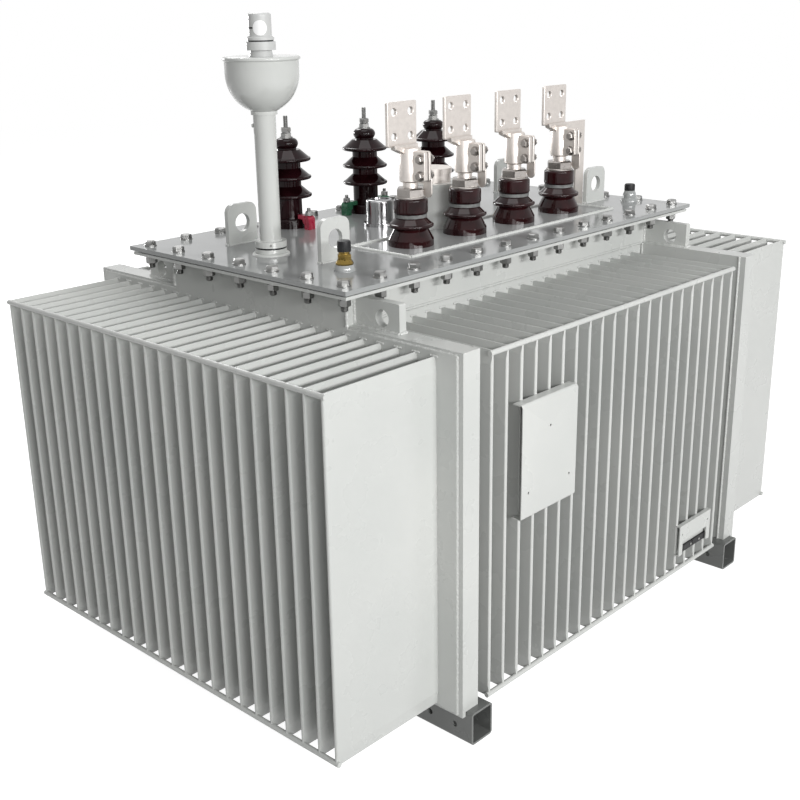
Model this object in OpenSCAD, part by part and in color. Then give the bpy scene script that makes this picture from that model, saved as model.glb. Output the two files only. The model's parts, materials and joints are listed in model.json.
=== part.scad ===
// Sealed oil-filled power transformer with corrugated fin walls.
// Origin on the floor under the tank centre. X runs along the tank, Z points up.
// The low-voltage bushings stand at the front, -Y, and the high-voltage ones at the back.

/* [Tank] */
// Length of the tank over its end walls
tank_l = 1216; // [1180:2:1236]
// Width of the tank over its long walls
tank_w = 604; // [576:2:620]
// Height of the tank's neck from the end frames' tops to the flange face
neck_h = 86; // [72:1:110]
// Thickness of the flange welded round the tank mouth
flange_t = 7; // [5:1:12]
// Distance from the cover's edge to the flange's edge
flange_inset = 6; // [2:1:12]
// Thickness of the gasket under the cover
gasket_t = 4; // [2:0.5:8]

/* [Cover] */
// How far the cover reaches past the tank at each end
cover_reach_x = 72; // [60:1:88]
// How far the cover reaches past the tank at each long side
cover_reach_y = 73; // [62:1:86]
// Thickness of the cover plate
cover_t = 10; // [8:1:16]
// Length of the plate let in under the low-voltage bushings
insert_l = 820; // [800:5:840]
// Width of the plate let in under the low-voltage bushings
insert_w = 190; // [170:2:200]

/* [End frames] */
// Thickness of an end frame along the tank
frame_t = 52; // [40:1:60]
// How far an end frame stands past the tips of the long walls' fins
frame_lip = 8; // [4:1:16]
// Height of an end frame above the skids
frame_h = 820; // [700:5:900]
// Thickness of the frame's outer plate, which hangs over the skid's side
frame_plate_t = 10; // [6:1:14]
// How far the outer plate hangs below the top of the skid
frame_plate_drop = 12; // [6:1:20]

/* [Base skids] */
// Width of a skid tube
skid_w = 70; // [60:1:80]
// Height of a skid tube
skid_h = 80; // [70:1:100]
// How far a skid stands past the end frame at each end
skid_past = 18; // [10:1:40]
// Wall of a skid tube
skid_wall = 5; // [4:0.5:8]
// Diameter of the fixing holes in the skid's sides
skid_hole_d = 14; // [10:0.5:20]

/* [Fin walls] */
// Distance from one cooling fin to the next
fin_pitch = 50; // [46:0.5:50.5]
// Thickness of a fin pocket
fin_t = 9; // [6:0.5:12]
// Thickness of the pinched and welded seam at a fin's top and bottom
fin_seam_t = 2.5; // [2:0.1:4]
// Height over which a fin is pinched down to its seam
fin_pinch = 30; // [18:1:40]
// Depth of the fins on the two long walls
front_fin_depth = 312; // [250:2:320]
// Depth of the fins on the two end walls
end_fin_depth = 311; // [250:2:340]
// Bare panel left beside the last fin of a long wall
front_fin_margin = 50; // [40:1:60]
// Bare panel left beside the last fin of an end wall
end_fin_margin = 55; // [45:1:65]
// How far the long walls' fins hang below the tank's floor
front_fin_hang = 10; // [0:1:20]
// Sheet thickness of the panel that carries the fins
panel_t = 4; // [3:0.5:6]
// Diameter of the rods welded across the fin tips
rod_d = 12; // [8:0.5:14]

/* [Lifting lugs] */
// Reach of a tank lug from the tank wall
tank_lug_l = 132; // [122:1:156]
// Room between a tank lug and the flange above it
tank_lug_room = 15; // [8:1:20]
// Thickness of a tank lug
tank_lug_t = 20; // [14:1:24]
// Hole in a tank lug
tank_lug_hole_d = 38; // [30:1:42]
// Width of a cover lug
cover_lug_w = 90; // [80:1:110]
// Height of a cover lug
cover_lug_h = 98; // [90:1:130]
// Thickness of a cover lug
cover_lug_t = 12; // [8:1:18]
// Hole in a cover lug
cover_lug_hole_d = 44; // [34:1:48]

/* [Low-voltage bushings] */
// Distance between low-voltage bushings
lv_pitch = 200; // [180:2:204]
// Height of a low-voltage porcelain up to its gasket
lv_base_h = 67; // [62:1:74]
// Diameter of the porcelain's foot and of its shed
lv_shed_d = 110; // [102:1:118]
// Diameter of the upper porcelain ring
lv_ring_d = 82; // [76:1:90]
// Height of the upper porcelain ring
lv_ring_h = 38; // [30:1:46]
// Thickness of the gasket between the two porcelains
lv_seal_t = 8; // [5:0.5:12]
// Width across the flats of the terminal nut
lv_nut_af = 62; // [55:1:70]
// Height of the terminal nut
lv_nut_h = 24; // [20:1:30]

/* [Low-voltage terminals] */
// Outer diameter of the clamp body
clamp_d = 52; // [46:1:60]
// Height of the clamp body
clamp_h = 64; // [58:1:76]
// Reach of the clamp's two ears from its axis
ear_reach = 58; // [50:1:66]
// Width of the palm plate
palm_w = 98; // [90:1:110]
// Height of the palm plate
palm_h = 102; // [95:1:120]
// Thickness of the palm plate
palm_t = 12; // [8:1:16]
// Distance between the palm's bolt holes, both ways
palm_hole_pitch = 56; // [46:1:60]
// Diameter of the palm's bolt holes
palm_hole_d = 18; // [12:0.5:20]

/* [High-voltage bushings] */
// Distance between high-voltage bushings
hv_pitch = 284; // [260:2:290]
// Diameter of the porcelain's foot
hv_foot_d = 100; // [92:1:110]
// Height of the porcelain's foot
hv_foot_h = 25; // [20:1:32]
// Diameter of the porcelain's column
hv_column_d = 68; // [60:1:74]
// Diameter of a shed
hv_shed_d = 122; // [112:1:130]
// Distance from one shed to the next
hv_shed_pitch = 46; // [40:1:50]
// Height of the porcelain
hv_h = 227; // [220:1:250]
// Diameter of the terminal stud
hv_stud_d = 12; // [10:0.5:16]

/* [Oil filler] */
// Diameter of the filler pipe
filler_pipe_d = 50; // [42:1:60]
// Height of the cover-side collar
filler_collar_h = 33; // [26:1:40]
// Height of the pipe's top above the cover
filler_pipe_top = 318; // [280:2:360]
// Diameter of the oil cup's rim
oil_cup_d = 174; // [170:2:190]
// Height of the oil cup
oil_cup_h = 126; // [110:2:140]
// Height of the level device on the oil cup
level_device_h = 91; // [80:1:110]

/* [Fittings] */
// Diameter of the pressure relief cap
relief_d = 70; // [60:1:80]
// Height of the pressure relief cap
relief_h = 68; // [55:1:80]
// Diameter of the tap changer's housing
tap_d = 146; // [120:2:150]
// Height of the tap changer's housing
tap_h = 112; // [90:2:124]
// Height of the left bleed valve
valve_left_h = 66; // [56:1:76]
// Height of the right bleed valve
valve_right_h = 50; // [44:1:60]
// Width of the plate bracket on the front fins
plate_w = 200; // [180:2:240]
// Height of the plate bracket on the front fins
plate_h = 265; // [230:5:300]
// Width of the low bracket on the front fins
low_bracket_w = 162; // [150:2:180]
// Height of the low bracket on the front fins
low_bracket_h = 87; // [76:1:100]

/* [Hidden] */

// Facets of round shapes in the preview
$fn = 48;
// Overrun of cutting shapes
cut = 1;

// Paint and finish colours
paint = [0.80, 0.81, 0.79];
paint_shade = [0.62, 0.64, 0.63];
seal_black = [0.12, 0.12, 0.13];
lv_brown = [0.20, 0.07, 0.07];
hv_maroon = [0.12, 0.05, 0.06];
tin = [0.80, 0.78, 0.75];
zinc = [0.72, 0.72, 0.70];
brass = [0.62, 0.52, 0.28];
phase_red = [0.62, 0.10, 0.18];
phase_green = [0.07, 0.36, 0.20];
phase_yellow = [0.80, 0.62, 0.08];

// Heights that stack up from the floor
tank_z = skid_h;
frame_top_z = tank_z + frame_h;
tank_top_z = frame_top_z + neck_h;
flange_z = tank_top_z - flange_t;
cover_z = tank_top_z + gasket_t;
deck_z = cover_z + cover_t;
fin_top_drop = 18;
fin_top_z = frame_top_z - fin_top_drop;
front_fin_h = frame_h - fin_top_drop + front_fin_hang;
end_fin_h = frame_h - fin_top_drop;

// Faces of the tank and its end frames
neck_x = tank_l / 2;
neck_y = tank_w / 2;
frame_outer_x = neck_x - panel_t;
frame_inner_x = frame_outer_x - frame_t;
box_y = neck_y - panel_t;
front_tip_y = neck_y + front_fin_depth;
frame_w = 2 * (front_tip_y + frame_lip);
cover_l = tank_l + 2 * cover_reach_x;
cover_w = tank_w + 2 * cover_reach_y;
skid_l = frame_w + 2 * skid_past;
skid_x = frame_outer_x - frame_plate_t - skid_w / 2;

// Skid details
skid_corner_r = 8;
skid_hole_share = 0.45;
skid_hole_z = skid_h * skid_hole_share;
skid_hole_inset = 50;
skid_hole_y = skid_l / 2 - skid_hole_inset;
skid_hole_gap = 72;
skid_drain_d = 16;
skid_drain_inset = 34;

// Fin wall details
panel_top_drop = 8;
end_panel_margin = 15;
end_panel_drop = 6;
front_panel_w = 2 * frame_inner_x;
end_panel_w = frame_w - 2 * end_panel_margin;
front_fins = floor((front_panel_w - 2 * front_fin_margin) / fin_pitch) + 1;
end_fins = floor((end_panel_w - 2 * end_fin_margin) / fin_pitch) + 1;
rod_stand = 3;
rod_end = 8;

// Lug details
lug_corner_r = 4;
tank_lug_inset = 23;
tank_lug_x = neck_x - tank_lug_inset;
tank_lug_hole_inset = 50;
tank_lug_hole_rise = 8;
tank_lug_hole_z = tank_lug_hole_rise + tank_lug_hole_d / 2;
tank_lug_h = neck_h - flange_t - tank_lug_room;
cover_lug_corner_r = 22;
cover_lug_hole_z = 51;
cover_lug_left_x = -482;
cover_lug_right_x = 552;
cover_lug_front_y = -137;
cover_lug_back_y = 187;

// Gasket and let-in plate details
gasket_inset = 8;
gasket_w = 60;
insert_front_inset = 125;
insert_corner_r = 14;

// Low-voltage bushing places and outline
lv_x = 62;
lv_y = -150;
lv_count = 4;
lv_row = [for (i = [0 : lv_count - 1]) lv_x + (i - (lv_count - 1) / 2) * lv_pitch];
lv_foot_h = 15;
lv_waist_d = 80;
lv_waist_z = 43;
lv_rim_t = 10;
lv_shoulder_d = 72;
lv_seal_d = 78;
lv_edge_r = 6;
lv_seal_z = lv_base_h;
lv_ring_z = lv_seal_z + lv_seal_t;
lv_nut_z = lv_ring_z + lv_ring_h;
lv_washer_t = 4;
lv_washer_d = 72;
lv_stem_z = lv_nut_z + lv_nut_h;

// Terminal outline
stem_d = 46;
stem_h = 13;
clamp_z = lv_stem_z + stem_h;
slit_w = 4;
ear_t = 12;
ear_back_t = 8;
ear_h = 70;
ear_rise = 4;
ear_r = 6;
tab_t = 4;
tab_w = 26;
tab_hang = 39;
tab_seat = 14;
shelf_h = 20;
shelf_d = 44;
gusset_t = 22;
gusset_h = 26;
palm_shift_x = -21;
palm_back_y = 8;
palm_z = clamp_z + clamp_h + shelf_h;
bar_t = 6;
bar_w = 38;
bar_reach = 157;
bar_foot = 44;

// High-voltage bushing places and outline
hv_x = 28;
hv_y = 264;
hv_count = 3;
hv_row = [for (i = [0 : hv_count - 1]) hv_x + (i - (hv_count - 1) / 2) * hv_pitch];
hv_shed_count = 3;
hv_shed_rise = 24;
hv_rim_t = 9;
hv_foot_r = 6;
hv_cap_d = 60;
hv_cap_h = 28;
hv_throat_d = 50;
hv_throat_h = 1;
hv_last_shed_z = hv_h - hv_cap_h - hv_throat_h - hv_shed_rise;
hv_first_shed_z = hv_last_shed_z - (hv_shed_count - 1) * hv_shed_pitch;
hv_stud_h = 57;
hv_nut_af = 24;
hv_nut_h = 11;
hv_washer_d = 34;
hv_washer_t = 3;
hv_nut_gap = 2;

// High-voltage clamp outline
claw_w = 22;
claw_leg_t = 17;
claw_room = 18;
claw_h = 36;
claw_nose = 6;
claw_r = 12;
claw_gap = 0.3;
claw_turns = [90, 0, 90];

// Oil filler places and outline
filler_x = -524;
filler_y = 31;
filler_collar_d = 74;
filler_seal_t = 4;
filler_seal_inset = 3;
filler_seal_z = 15;
cup_neck_d = 60;
cup_neck_h = 8;
cup_rim_t = 9;
cup_wall_d = 166;
cup_straight_h = 27;
device_foot_d = 54;
device_neck_d = 48;
device_neck_h = 13;
device_ring_d = 67;
device_ring_h = 18;
device_groove_h = 3;
device_flare_d = 61;
device_flare_h = 5;
device_waist_h = 4;
device_body_d = 52;
device_edge_r = 5;

// Small fittings
relief_x = -97;
relief_y = 90;
relief_flange_d = 84;
relief_flange_t = 8;
relief_edge_r = 6;
relief_dish = 3;
relief_rim = 9;
tap_x = -4;
tap_y = -14;
tap_lid_t = 8;
tap_lid_inset = 3;
tap_neck_d = 92;
tap_neck_h = 22;
tap_cap_d = 98;
tap_cap_t = 14;
valve_left_x = -539;
valve_left_y = -229;
valve_right_x = 613;
valve_right_y = -218;
valve_foot_d = 48;
valve_flare_d = 40;
valve_body_d = 30;
valve_cap_d = 32;
valve_foot_share = 0.2;
valve_flare_share = 0.4;
valve_body_share = 0.62;

// Brackets on the front fins
bracket_sheet_t = 3;
plate_x = -331;
plate_mid_z = 617;
plate_stand = 26;
low_bracket_x = 374;
low_bracket_mid_z = 168;
low_bracket_stand = 12;
low_gap_w = 126;
low_gap_h = 40;
bracket_hole_d = 6;
plate_hole_reach = 75;
plate_hole_low = 73;
plate_hole_high = 63;
low_hole_reach = 67;
low_hole_rise = 17;

// A flat rectangle about the origin with round corners
module rounded_plate(w, h, r) {
  square([w - 2 * r, h], center = true);
  square([w, h - 2 * r], center = true);
  for (sx = [-1, 1], sy = [-1, 1])
    translate([sx * (w / 2 - r), sy * (h / 2 - r)])
      circle(r);
}

// A hexagonal bar standing on Z, given its width across the flats
module hex_bar(af, h) {
  cylinder(d = af / cos(30), h = h, $fn = 6);
}

// One skid tube along Y with fixing holes near both ends
module skid(side) {
  color(paint_shade)
    translate([side * skid_x, 0, 0])
      difference() {
        translate([0, skid_l / 2, skid_h / 2])
          rotate([90, 0, 0])
            linear_extrude(skid_l)
              difference() {
                rounded_plate(skid_w, skid_h, skid_corner_r);
                rounded_plate(skid_w - 2 * skid_wall, skid_h - 2 * skid_wall, skid_corner_r - skid_wall);
              }
        for (end = [-1, 1]) {
          for (k = [0, 1])
            translate([-skid_w / 2 - cut, end * (skid_hole_y - k * skid_hole_gap), skid_hole_z])
              rotate([0, 90, 0])
                cylinder(d = skid_hole_d, h = skid_w + 2 * cut);
          translate([0, end * (skid_l / 2 - skid_drain_inset), -cut])
            cylinder(d = skid_drain_d, h = skid_wall + 2 * cut);
        }
      }
}
module base_skid_left() { skid(-1); }
module base_skid_right() { skid(1); }

// The closed tank: a box between the end frames, with a neck above them that is flush with the fin panels
module tank_body() {
  color(paint) {
    translate([-frame_inner_x, -box_y, tank_z])
      cube([2 * frame_inner_x, 2 * box_y, frame_h]);
    translate([-neck_x, -neck_y, frame_top_z])
      cube([tank_l, tank_w, neck_h]);
  }
}

// A flat box frame that closes one end of the tank and shields the long walls' fins
module end_frame(side) {
  color(paint)
    mirror([side < 0 ? 1 : 0, 0, 0]) {
      translate([frame_inner_x, -frame_w / 2, tank_z])
        cube([frame_t, frame_w, frame_h]);
      translate([frame_outer_x - frame_plate_t, -frame_w / 2, tank_z - frame_plate_drop])
        cube([frame_plate_t, frame_w, frame_plate_drop + frame_h]);
    }
}
module end_frame_left() { end_frame(-1); }
module end_frame_right() { end_frame(1); }

// One fin pocket that points to -Y from the panel face, pinched to a seam at its top and bottom
module fin(depth, h) {
  intersection() {
    linear_extrude(h) {
      translate([-fin_t / 2, fin_t / 2 - depth])
        square([fin_t, depth - fin_t / 2 + panel_t]);
      translate([0, fin_t / 2 - depth])
        circle(d = fin_t);
    }
    translate([0, panel_t, 0])
      rotate([90, 0, 0])
        linear_extrude(depth + panel_t)
          polygon([[-fin_seam_t / 2, 0], [fin_seam_t / 2, 0], [fin_t / 2, fin_pinch],
            [fin_t / 2, h - fin_pinch], [fin_seam_t / 2, h], [-fin_seam_t / 2, h],
            [-fin_t / 2, h - fin_pinch], [-fin_t / 2, fin_pinch]]);
  }
}

// A panel in the XZ plane that meets the neck over its middle, with a row of fins towards -Y
// and a rod across their tips, top and bottom
module fin_wall(count, depth, h, panel_w, panel_drop, neck_w) {
  span = (count - 1) * fin_pitch;
  color(paint)
    translate([0, 0, fin_top_z - h]) {
      translate([-panel_w / 2, 0, -panel_drop])
        cube([panel_w, panel_t, h + panel_drop + fin_top_drop - panel_top_drop]);
      translate([-neck_w / 2, 0, h])
        cube([neck_w, panel_t, fin_top_drop]);
      for (i = [0 : count - 1])
        translate([i * fin_pitch - span / 2, 0, 0])
          fin(depth, h);
      for (z = [rod_d / 2, h - rod_d / 2])
        translate([-span / 2 - rod_end, rod_d / 2 - rod_stand - depth, z])
          rotate([0, 90, 0])
            cylinder(d = rod_d, h = span + 2 * rod_end);
    }
}
module long_wall() {
  translate([0, -neck_y, 0])
    fin_wall(front_fins, front_fin_depth, front_fin_h, front_panel_w, 0, front_panel_w);
}
module end_wall() {
  rotate([0, 0, -90])
    translate([0, -neck_x, 0])
      fin_wall(end_fins, end_fin_depth, end_fin_h, end_panel_w, end_panel_drop, tank_w);
}
module fin_wall_front() { long_wall(); }
module fin_wall_back() { rotate([0, 0, 180]) long_wall(); }
module fin_wall_left() { end_wall(); }
module fin_wall_right() { rotate([0, 0, 180]) end_wall(); }

// A lug plate across the tank that stands on an end frame beside the neck
module tank_lug() {
  difference() {
    rotate([90, 0, 90])
      linear_extrude(tank_lug_t) {
        square([tank_lug_l - lug_corner_r, tank_lug_h]);
        square([tank_lug_l, tank_lug_h - lug_corner_r]);
        translate([tank_lug_l - lug_corner_r, tank_lug_h - lug_corner_r])
          circle(lug_corner_r);
      }
    translate([-cut, tank_lug_l - tank_lug_hole_inset, tank_lug_hole_z])
      rotate([0, 90, 0])
        cylinder(d = tank_lug_hole_d, h = tank_lug_t + 2 * cut);
  }
}
module tank_lug_pair(side) {
  color(paint)
    mirror([side < 0 ? 1 : 0, 0, 0])
      for (end = [0, 1])
        mirror([0, end, 0])
          translate([tank_lug_x - tank_lug_t, neck_y, frame_top_z])
            tank_lug();
}
module tank_lugs_left() { tank_lug_pair(-1); }
module tank_lugs_right() { tank_lug_pair(1); }

// The flange round the tank mouth, the gasket on it and the bolted cover
module tank_flange() {
  color(paint)
    translate([0, 0, flange_z])
      linear_extrude(flange_t)
        difference() {
          square([cover_l - 2 * flange_inset, cover_w - 2 * flange_inset], center = true);
          square([tank_l, tank_w], center = true);
        }
}
module cover_gasket() {
  gasket_l_out = cover_l - 2 * flange_inset - 2 * gasket_inset;
  gasket_w_out = cover_w - 2 * flange_inset - 2 * gasket_inset;
  color(seal_black)
    translate([0, 0, tank_top_z])
      linear_extrude(gasket_t)
        difference() {
          square([gasket_l_out, gasket_w_out], center = true);
          square([gasket_l_out - 2 * gasket_w, gasket_w_out - 2 * gasket_w], center = true);
        }
}
module insert_outline() {
  translate([lv_x, insert_front_inset + insert_w / 2 - cover_w / 2])
    rounded_plate(insert_l, insert_w, insert_corner_r);
}
module cover() {
  color(paint)
    translate([0, 0, cover_z])
      linear_extrude(cover_t)
        difference() {
          square([cover_l, cover_w], center = true);
          insert_outline();
        }
}
module lv_insert_plate() {
  color(paint)
    translate([0, 0, cover_z])
      linear_extrude(cover_t)
        insert_outline();
}

// A lug plate along the tank that stands on the cover
module cover_lug() {
  difference() {
    translate([0, cover_lug_t / 2, 0])
      rotate([90, 0, 0])
        linear_extrude(cover_lug_t) {
          translate([-cover_lug_w / 2, 0])
            square([cover_lug_w, cover_lug_h - cover_lug_corner_r]);
          translate([cover_lug_corner_r - cover_lug_w / 2, 0])
            square([cover_lug_w - 2 * cover_lug_corner_r, cover_lug_h]);
          for (s = [-1, 1])
            translate([s * (cover_lug_w / 2 - cover_lug_corner_r), cover_lug_h - cover_lug_corner_r])
              circle(cover_lug_corner_r);
        }
    translate([0, cover_lug_t / 2 + cut, cover_lug_hole_z])
      rotate([90, 0, 0])
        cylinder(d = cover_lug_hole_d, h = cover_lug_t + 2 * cut);
  }
}
module cover_lug_pair(x) {
  color(paint)
    for (y = [cover_lug_front_y, cover_lug_back_y])
      translate([x, y, deck_z])
        cover_lug();
}
module cover_lugs_left() { cover_lug_pair(cover_lug_left_x); }
module cover_lugs_right() { cover_lug_pair(cover_lug_right_x); }

// Low-voltage porcelain: a foot cone with a shed, and a ring above the seal
module lv_porcelain() {
  rim_r = lv_shed_d / 2 - lv_rim_t / 2;
  rotate_extrude() {
    polygon([[0, 0], [lv_shed_d / 2, 0], [lv_shed_d / 2, lv_foot_h], [lv_waist_d / 2, lv_waist_z],
      [rim_r, lv_waist_z], [rim_r, lv_waist_z + lv_rim_t], [lv_shoulder_d / 2, lv_base_h], [0, lv_base_h]]);
    translate([rim_r, lv_waist_z + lv_rim_t / 2])
      circle(d = lv_rim_t);
  }
  translate([0, 0, lv_ring_z])
    rotate_extrude() {
      square([lv_ring_d / 2 - lv_edge_r, lv_ring_h]);
      translate([0, lv_edge_r])
        square([lv_ring_d / 2, lv_ring_h - 2 * lv_edge_r]);
      for (z = [lv_edge_r, lv_ring_h - lv_edge_r])
        translate([lv_ring_d / 2 - lv_edge_r, z])
          circle(lv_edge_r);
    }
}
module lv_bushing(i) {
  color(lv_brown)
    translate([lv_row[i], lv_y, deck_z])
      lv_porcelain();
}
module lv_bushing_1() { lv_bushing(0); }
module lv_bushing_2() { lv_bushing(1); }
module lv_bushing_3() { lv_bushing(2); }
module lv_bushing_4() { lv_bushing(3); }
module lv_gaskets() {
  color(paint_shade)
    for (x = lv_row)
      translate([x, lv_y, deck_z + lv_seal_z])
        cylinder(d = lv_seal_d, h = lv_seal_t);
}
module lv_nuts() {
  color(tin)
    for (x = lv_row)
      translate([x, lv_y, deck_z + lv_nut_z]) {
        cylinder(d = lv_washer_d, h = lv_washer_t);
        hex_bar(lv_nut_af, lv_nut_h);
      }
}

// Terminal: a split clamp on the stem with two ears, a hanging lock tab and an upright palm for busbars
module clamp_ear(t) {
  rotate([90, 0, 90])
    linear_extrude(t) {
      translate([ear_r - ear_reach, 0])
        square([ear_reach - ear_r, ear_h]);
      translate([-ear_reach, ear_r])
        square([ear_r, ear_h - 2 * ear_r]);
      for (z = [ear_r, ear_h - ear_r])
        translate([ear_r - ear_reach, z])
          circle(ear_r);
    }
}
module lock_tab() {
  rotate([90, 0, 90])
    linear_extrude(tab_t) {
      translate([-ear_reach, tab_w / 2 - tab_hang])
        square([tab_w, tab_hang + tab_seat - tab_w / 2]);
      translate([tab_w / 2 - ear_reach, tab_w / 2 - tab_hang])
        circle(d = tab_w);
    }
}
module lv_terminal_body() {
  clamp_top = clamp_z + clamp_h;
  palm_left = palm_shift_x - palm_w / 2;
  translate([0, 0, lv_stem_z])
    cylinder(d = stem_d, h = stem_h);
  difference() {
    union() {
      translate([0, 0, clamp_z])
        cylinder(d = clamp_d, h = clamp_h);
      translate([-slit_w / 2 - ear_t, 0, clamp_z + ear_rise])
        clamp_ear(ear_t);
      translate([slit_w / 2, 0, clamp_z + ear_rise])
        clamp_ear(ear_back_t);
    }
    translate([-slit_w / 2, -ear_reach - cut, clamp_z - cut])
      cube([slit_w, ear_reach + cut - clamp_d / 4, ear_rise + ear_h + 2 * cut]);
  }
  translate([slit_w / 2 + ear_back_t, 0, clamp_z + ear_rise])
    lock_tab();
  translate([palm_left, palm_back_y + palm_t / 2 - shelf_d, clamp_top])
    cube([palm_w, shelf_d, shelf_h]);
  translate([0, gusset_t / 2, clamp_top])
    rotate([90, 0, 0])
      linear_extrude(gusset_t)
        polygon([[palm_left, 0], [0, -gusset_h], [0, 0]]);
  translate([palm_shift_x, palm_back_y, palm_z])
    difference() {
      translate([-palm_w / 2, -palm_t / 2, 0])
        cube([palm_w, palm_t, palm_h]);
      for (sx = [-1, 1], sz = [-1, 1])
        translate([sx * palm_hole_pitch / 2, palm_t / 2 + cut, palm_h / 2 + sz * palm_hole_pitch / 2])
          rotate([90, 0, 0])
            cylinder(d = palm_hole_d, h = palm_t + 2 * cut);
    }
}
module lv_terminal(i) {
  color(tin)
    translate([lv_row[i], lv_y, deck_z])
      lv_terminal_body();
}
module lv_terminal_1() { lv_terminal(0); }
module lv_terminal_2() { lv_terminal(1); }
module lv_terminal_3() { lv_terminal(2); }
module lv_terminal_4() { lv_terminal(3); }

// Flat bar that ties the last low-voltage terminal to the cover
module neutral_bar() {
  palm_back = lv_y + palm_back_y + palm_t / 2;
  shelf_z = clamp_z + clamp_h;
  arm_x = lv_row[lv_count - 1] + palm_shift_x;
  leg_x = arm_x + bar_reach - bar_w;
  color(tin)
    translate([0, palm_back, deck_z]) {
      translate([arm_x, 0, shelf_z])
        cube([bar_reach, bar_t, shelf_h]);
      translate([leg_x, 0, 0])
        cube([bar_w, bar_t, shelf_z + shelf_h]);
      translate([leg_x, 0, 0])
        cube([bar_w, bar_foot, bar_t]);
    }
}

// High-voltage porcelain: a foot, a column with conical sheds and a round cap
module hv_shed(z) {
  rim_r = hv_shed_d / 2 - hv_rim_t / 2;
  polygon([[0, z], [hv_column_d / 2, z], [rim_r, z - hv_rim_t / 2],
    [rim_r, z + hv_rim_t / 2], [hv_column_d / 2, z + hv_shed_rise], [0, z + hv_shed_rise]]);
  translate([rim_r, z])
    circle(d = hv_rim_t);
}
module hv_porcelain() {
  rotate_extrude() {
    square([hv_foot_d / 2 - hv_foot_r, hv_foot_h]);
    square([hv_foot_d / 2, hv_foot_h - hv_foot_r]);
    translate([hv_foot_d / 2 - hv_foot_r, hv_foot_h - hv_foot_r])
      circle(hv_foot_r);
    square([hv_column_d / 2, hv_last_shed_z]);
    for (k = [0 : hv_shed_count - 1])
      hv_shed(hv_first_shed_z + k * hv_shed_pitch);
    square([hv_throat_d / 2, hv_h - hv_cap_h / 2]);
    translate([0, hv_h - hv_cap_h])
      square([hv_cap_d / 2 - hv_cap_h / 2, hv_cap_h]);
    translate([hv_cap_d / 2 - hv_cap_h / 2, hv_h - hv_cap_h / 2])
      circle(d = hv_cap_h);
  }
}
module hv_bushing(i) {
  color(hv_maroon)
    translate([hv_row[i], hv_y, deck_z])
      hv_porcelain();
}
module hv_bushing_1() { hv_bushing(0); }
module hv_bushing_2() { hv_bushing(1); }
module hv_bushing_3() { hv_bushing(2); }
module hv_studs() {
  color(zinc)
    for (x = hv_row)
      translate([x, hv_y, deck_z + hv_h]) {
        cylinder(d = hv_washer_d, h = hv_washer_t);
        cylinder(d = hv_stud_d, h = hv_stud_h);
        for (k = [0, 1])
          translate([0, 0, hv_washer_t + k * (hv_nut_h + hv_nut_gap)])
            hex_bar(hv_nut_af, hv_nut_h);
      }
}

// A pair of arched claws that hold a high-voltage porcelain down by its foot
module hv_claw() {
  leg_x = hv_foot_d / 2 + claw_room;
  outer_x = leg_x + claw_leg_t;
  nose_x = hv_foot_d / 2 - claw_nose;
  nose_z = hv_foot_h + claw_gap;
  arch_r = claw_room / 2;
  translate([0, claw_w / 2, 0])
    rotate([90, 0, 0])
      linear_extrude(claw_w) {
        translate([leg_x, 0])
          square([claw_leg_t, claw_h - claw_r]);
        translate([nose_x, nose_z])
          square([outer_x - claw_r - nose_x, claw_h - nose_z]);
        translate([outer_x - claw_r, claw_h - claw_r])
          circle(claw_r);
        difference() {
          translate([leg_x - arch_r, nose_z - arch_r])
            square([arch_r + claw_leg_t - claw_r, arch_r + claw_h - nose_z]);
          translate([leg_x - arch_r, nose_z - arch_r])
            circle(arch_r);
        }
      }
}
module hv_clamp_pair(i) {
  translate([hv_row[i], hv_y, deck_z])
    for (turn = [0, 180])
      rotate([0, 0, turn + claw_turns[i]])
        hv_claw();
}
module hv_clamps_red() { color(phase_red) hv_clamp_pair(0); }
module hv_clamps_green() { color(phase_green) hv_clamp_pair(1); }
module hv_clamps_yellow() { color(phase_yellow) hv_clamp_pair(2); }

// Oil filler: a collar on the cover, a standpipe, an oil cup with a rolled rim, and the level device
module at_filler(z) {
  translate([filler_x, filler_y, deck_z + z])
    children();
}
module oil_filler_collar() {
  color(paint)
    at_filler(0)
      difference() {
        cylinder(d = filler_collar_d, h = filler_collar_h);
        translate([0, 0, -cut])
          cylinder(d = filler_pipe_d, h = filler_collar_h + 2 * cut);
        translate([0, 0, filler_seal_z])
          difference() {
            cylinder(d = filler_collar_d + 2 * cut, h = filler_seal_t);
            translate([0, 0, -cut])
              cylinder(d = filler_collar_d - 2 * filler_seal_inset, h = filler_seal_t + 2 * cut);
          }
      }
}
module oil_filler_pipe() {
  color(paint)
    at_filler(0)
      cylinder(d = filler_pipe_d, h = filler_pipe_top);
}
module oil_cup() {
  bowl_r = cup_wall_d / 2;
  bowl_h = oil_cup_h - cup_neck_h - cup_rim_t - cup_straight_h;
  // The bowl's round bottom sinks into the neck until it is as wide as the neck
  bowl_sink = bowl_h * (1 - sqrt(1 - pow(cup_neck_d / cup_wall_d, 2)));
  rim_z = oil_cup_h - cup_rim_t;
  round_z = rim_z - cup_straight_h;
  color(paint)
    at_filler(filler_pipe_top)
      rotate_extrude() {
        square([cup_neck_d / 2, cup_neck_h]);
        translate([0, round_z])
          square([bowl_r, cup_straight_h]);
        intersection() {
          square([bowl_r, round_z]);
          translate([0, round_z])
            scale([bowl_r, bowl_h + bowl_sink])
              circle(1);
        }
        translate([0, rim_z])
          square([oil_cup_d / 2 - cup_rim_t / 2, cup_rim_t]);
        translate([oil_cup_d / 2 - cup_rim_t / 2, rim_z + cup_rim_t / 2])
          circle(d = cup_rim_t);
      }
}
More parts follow.
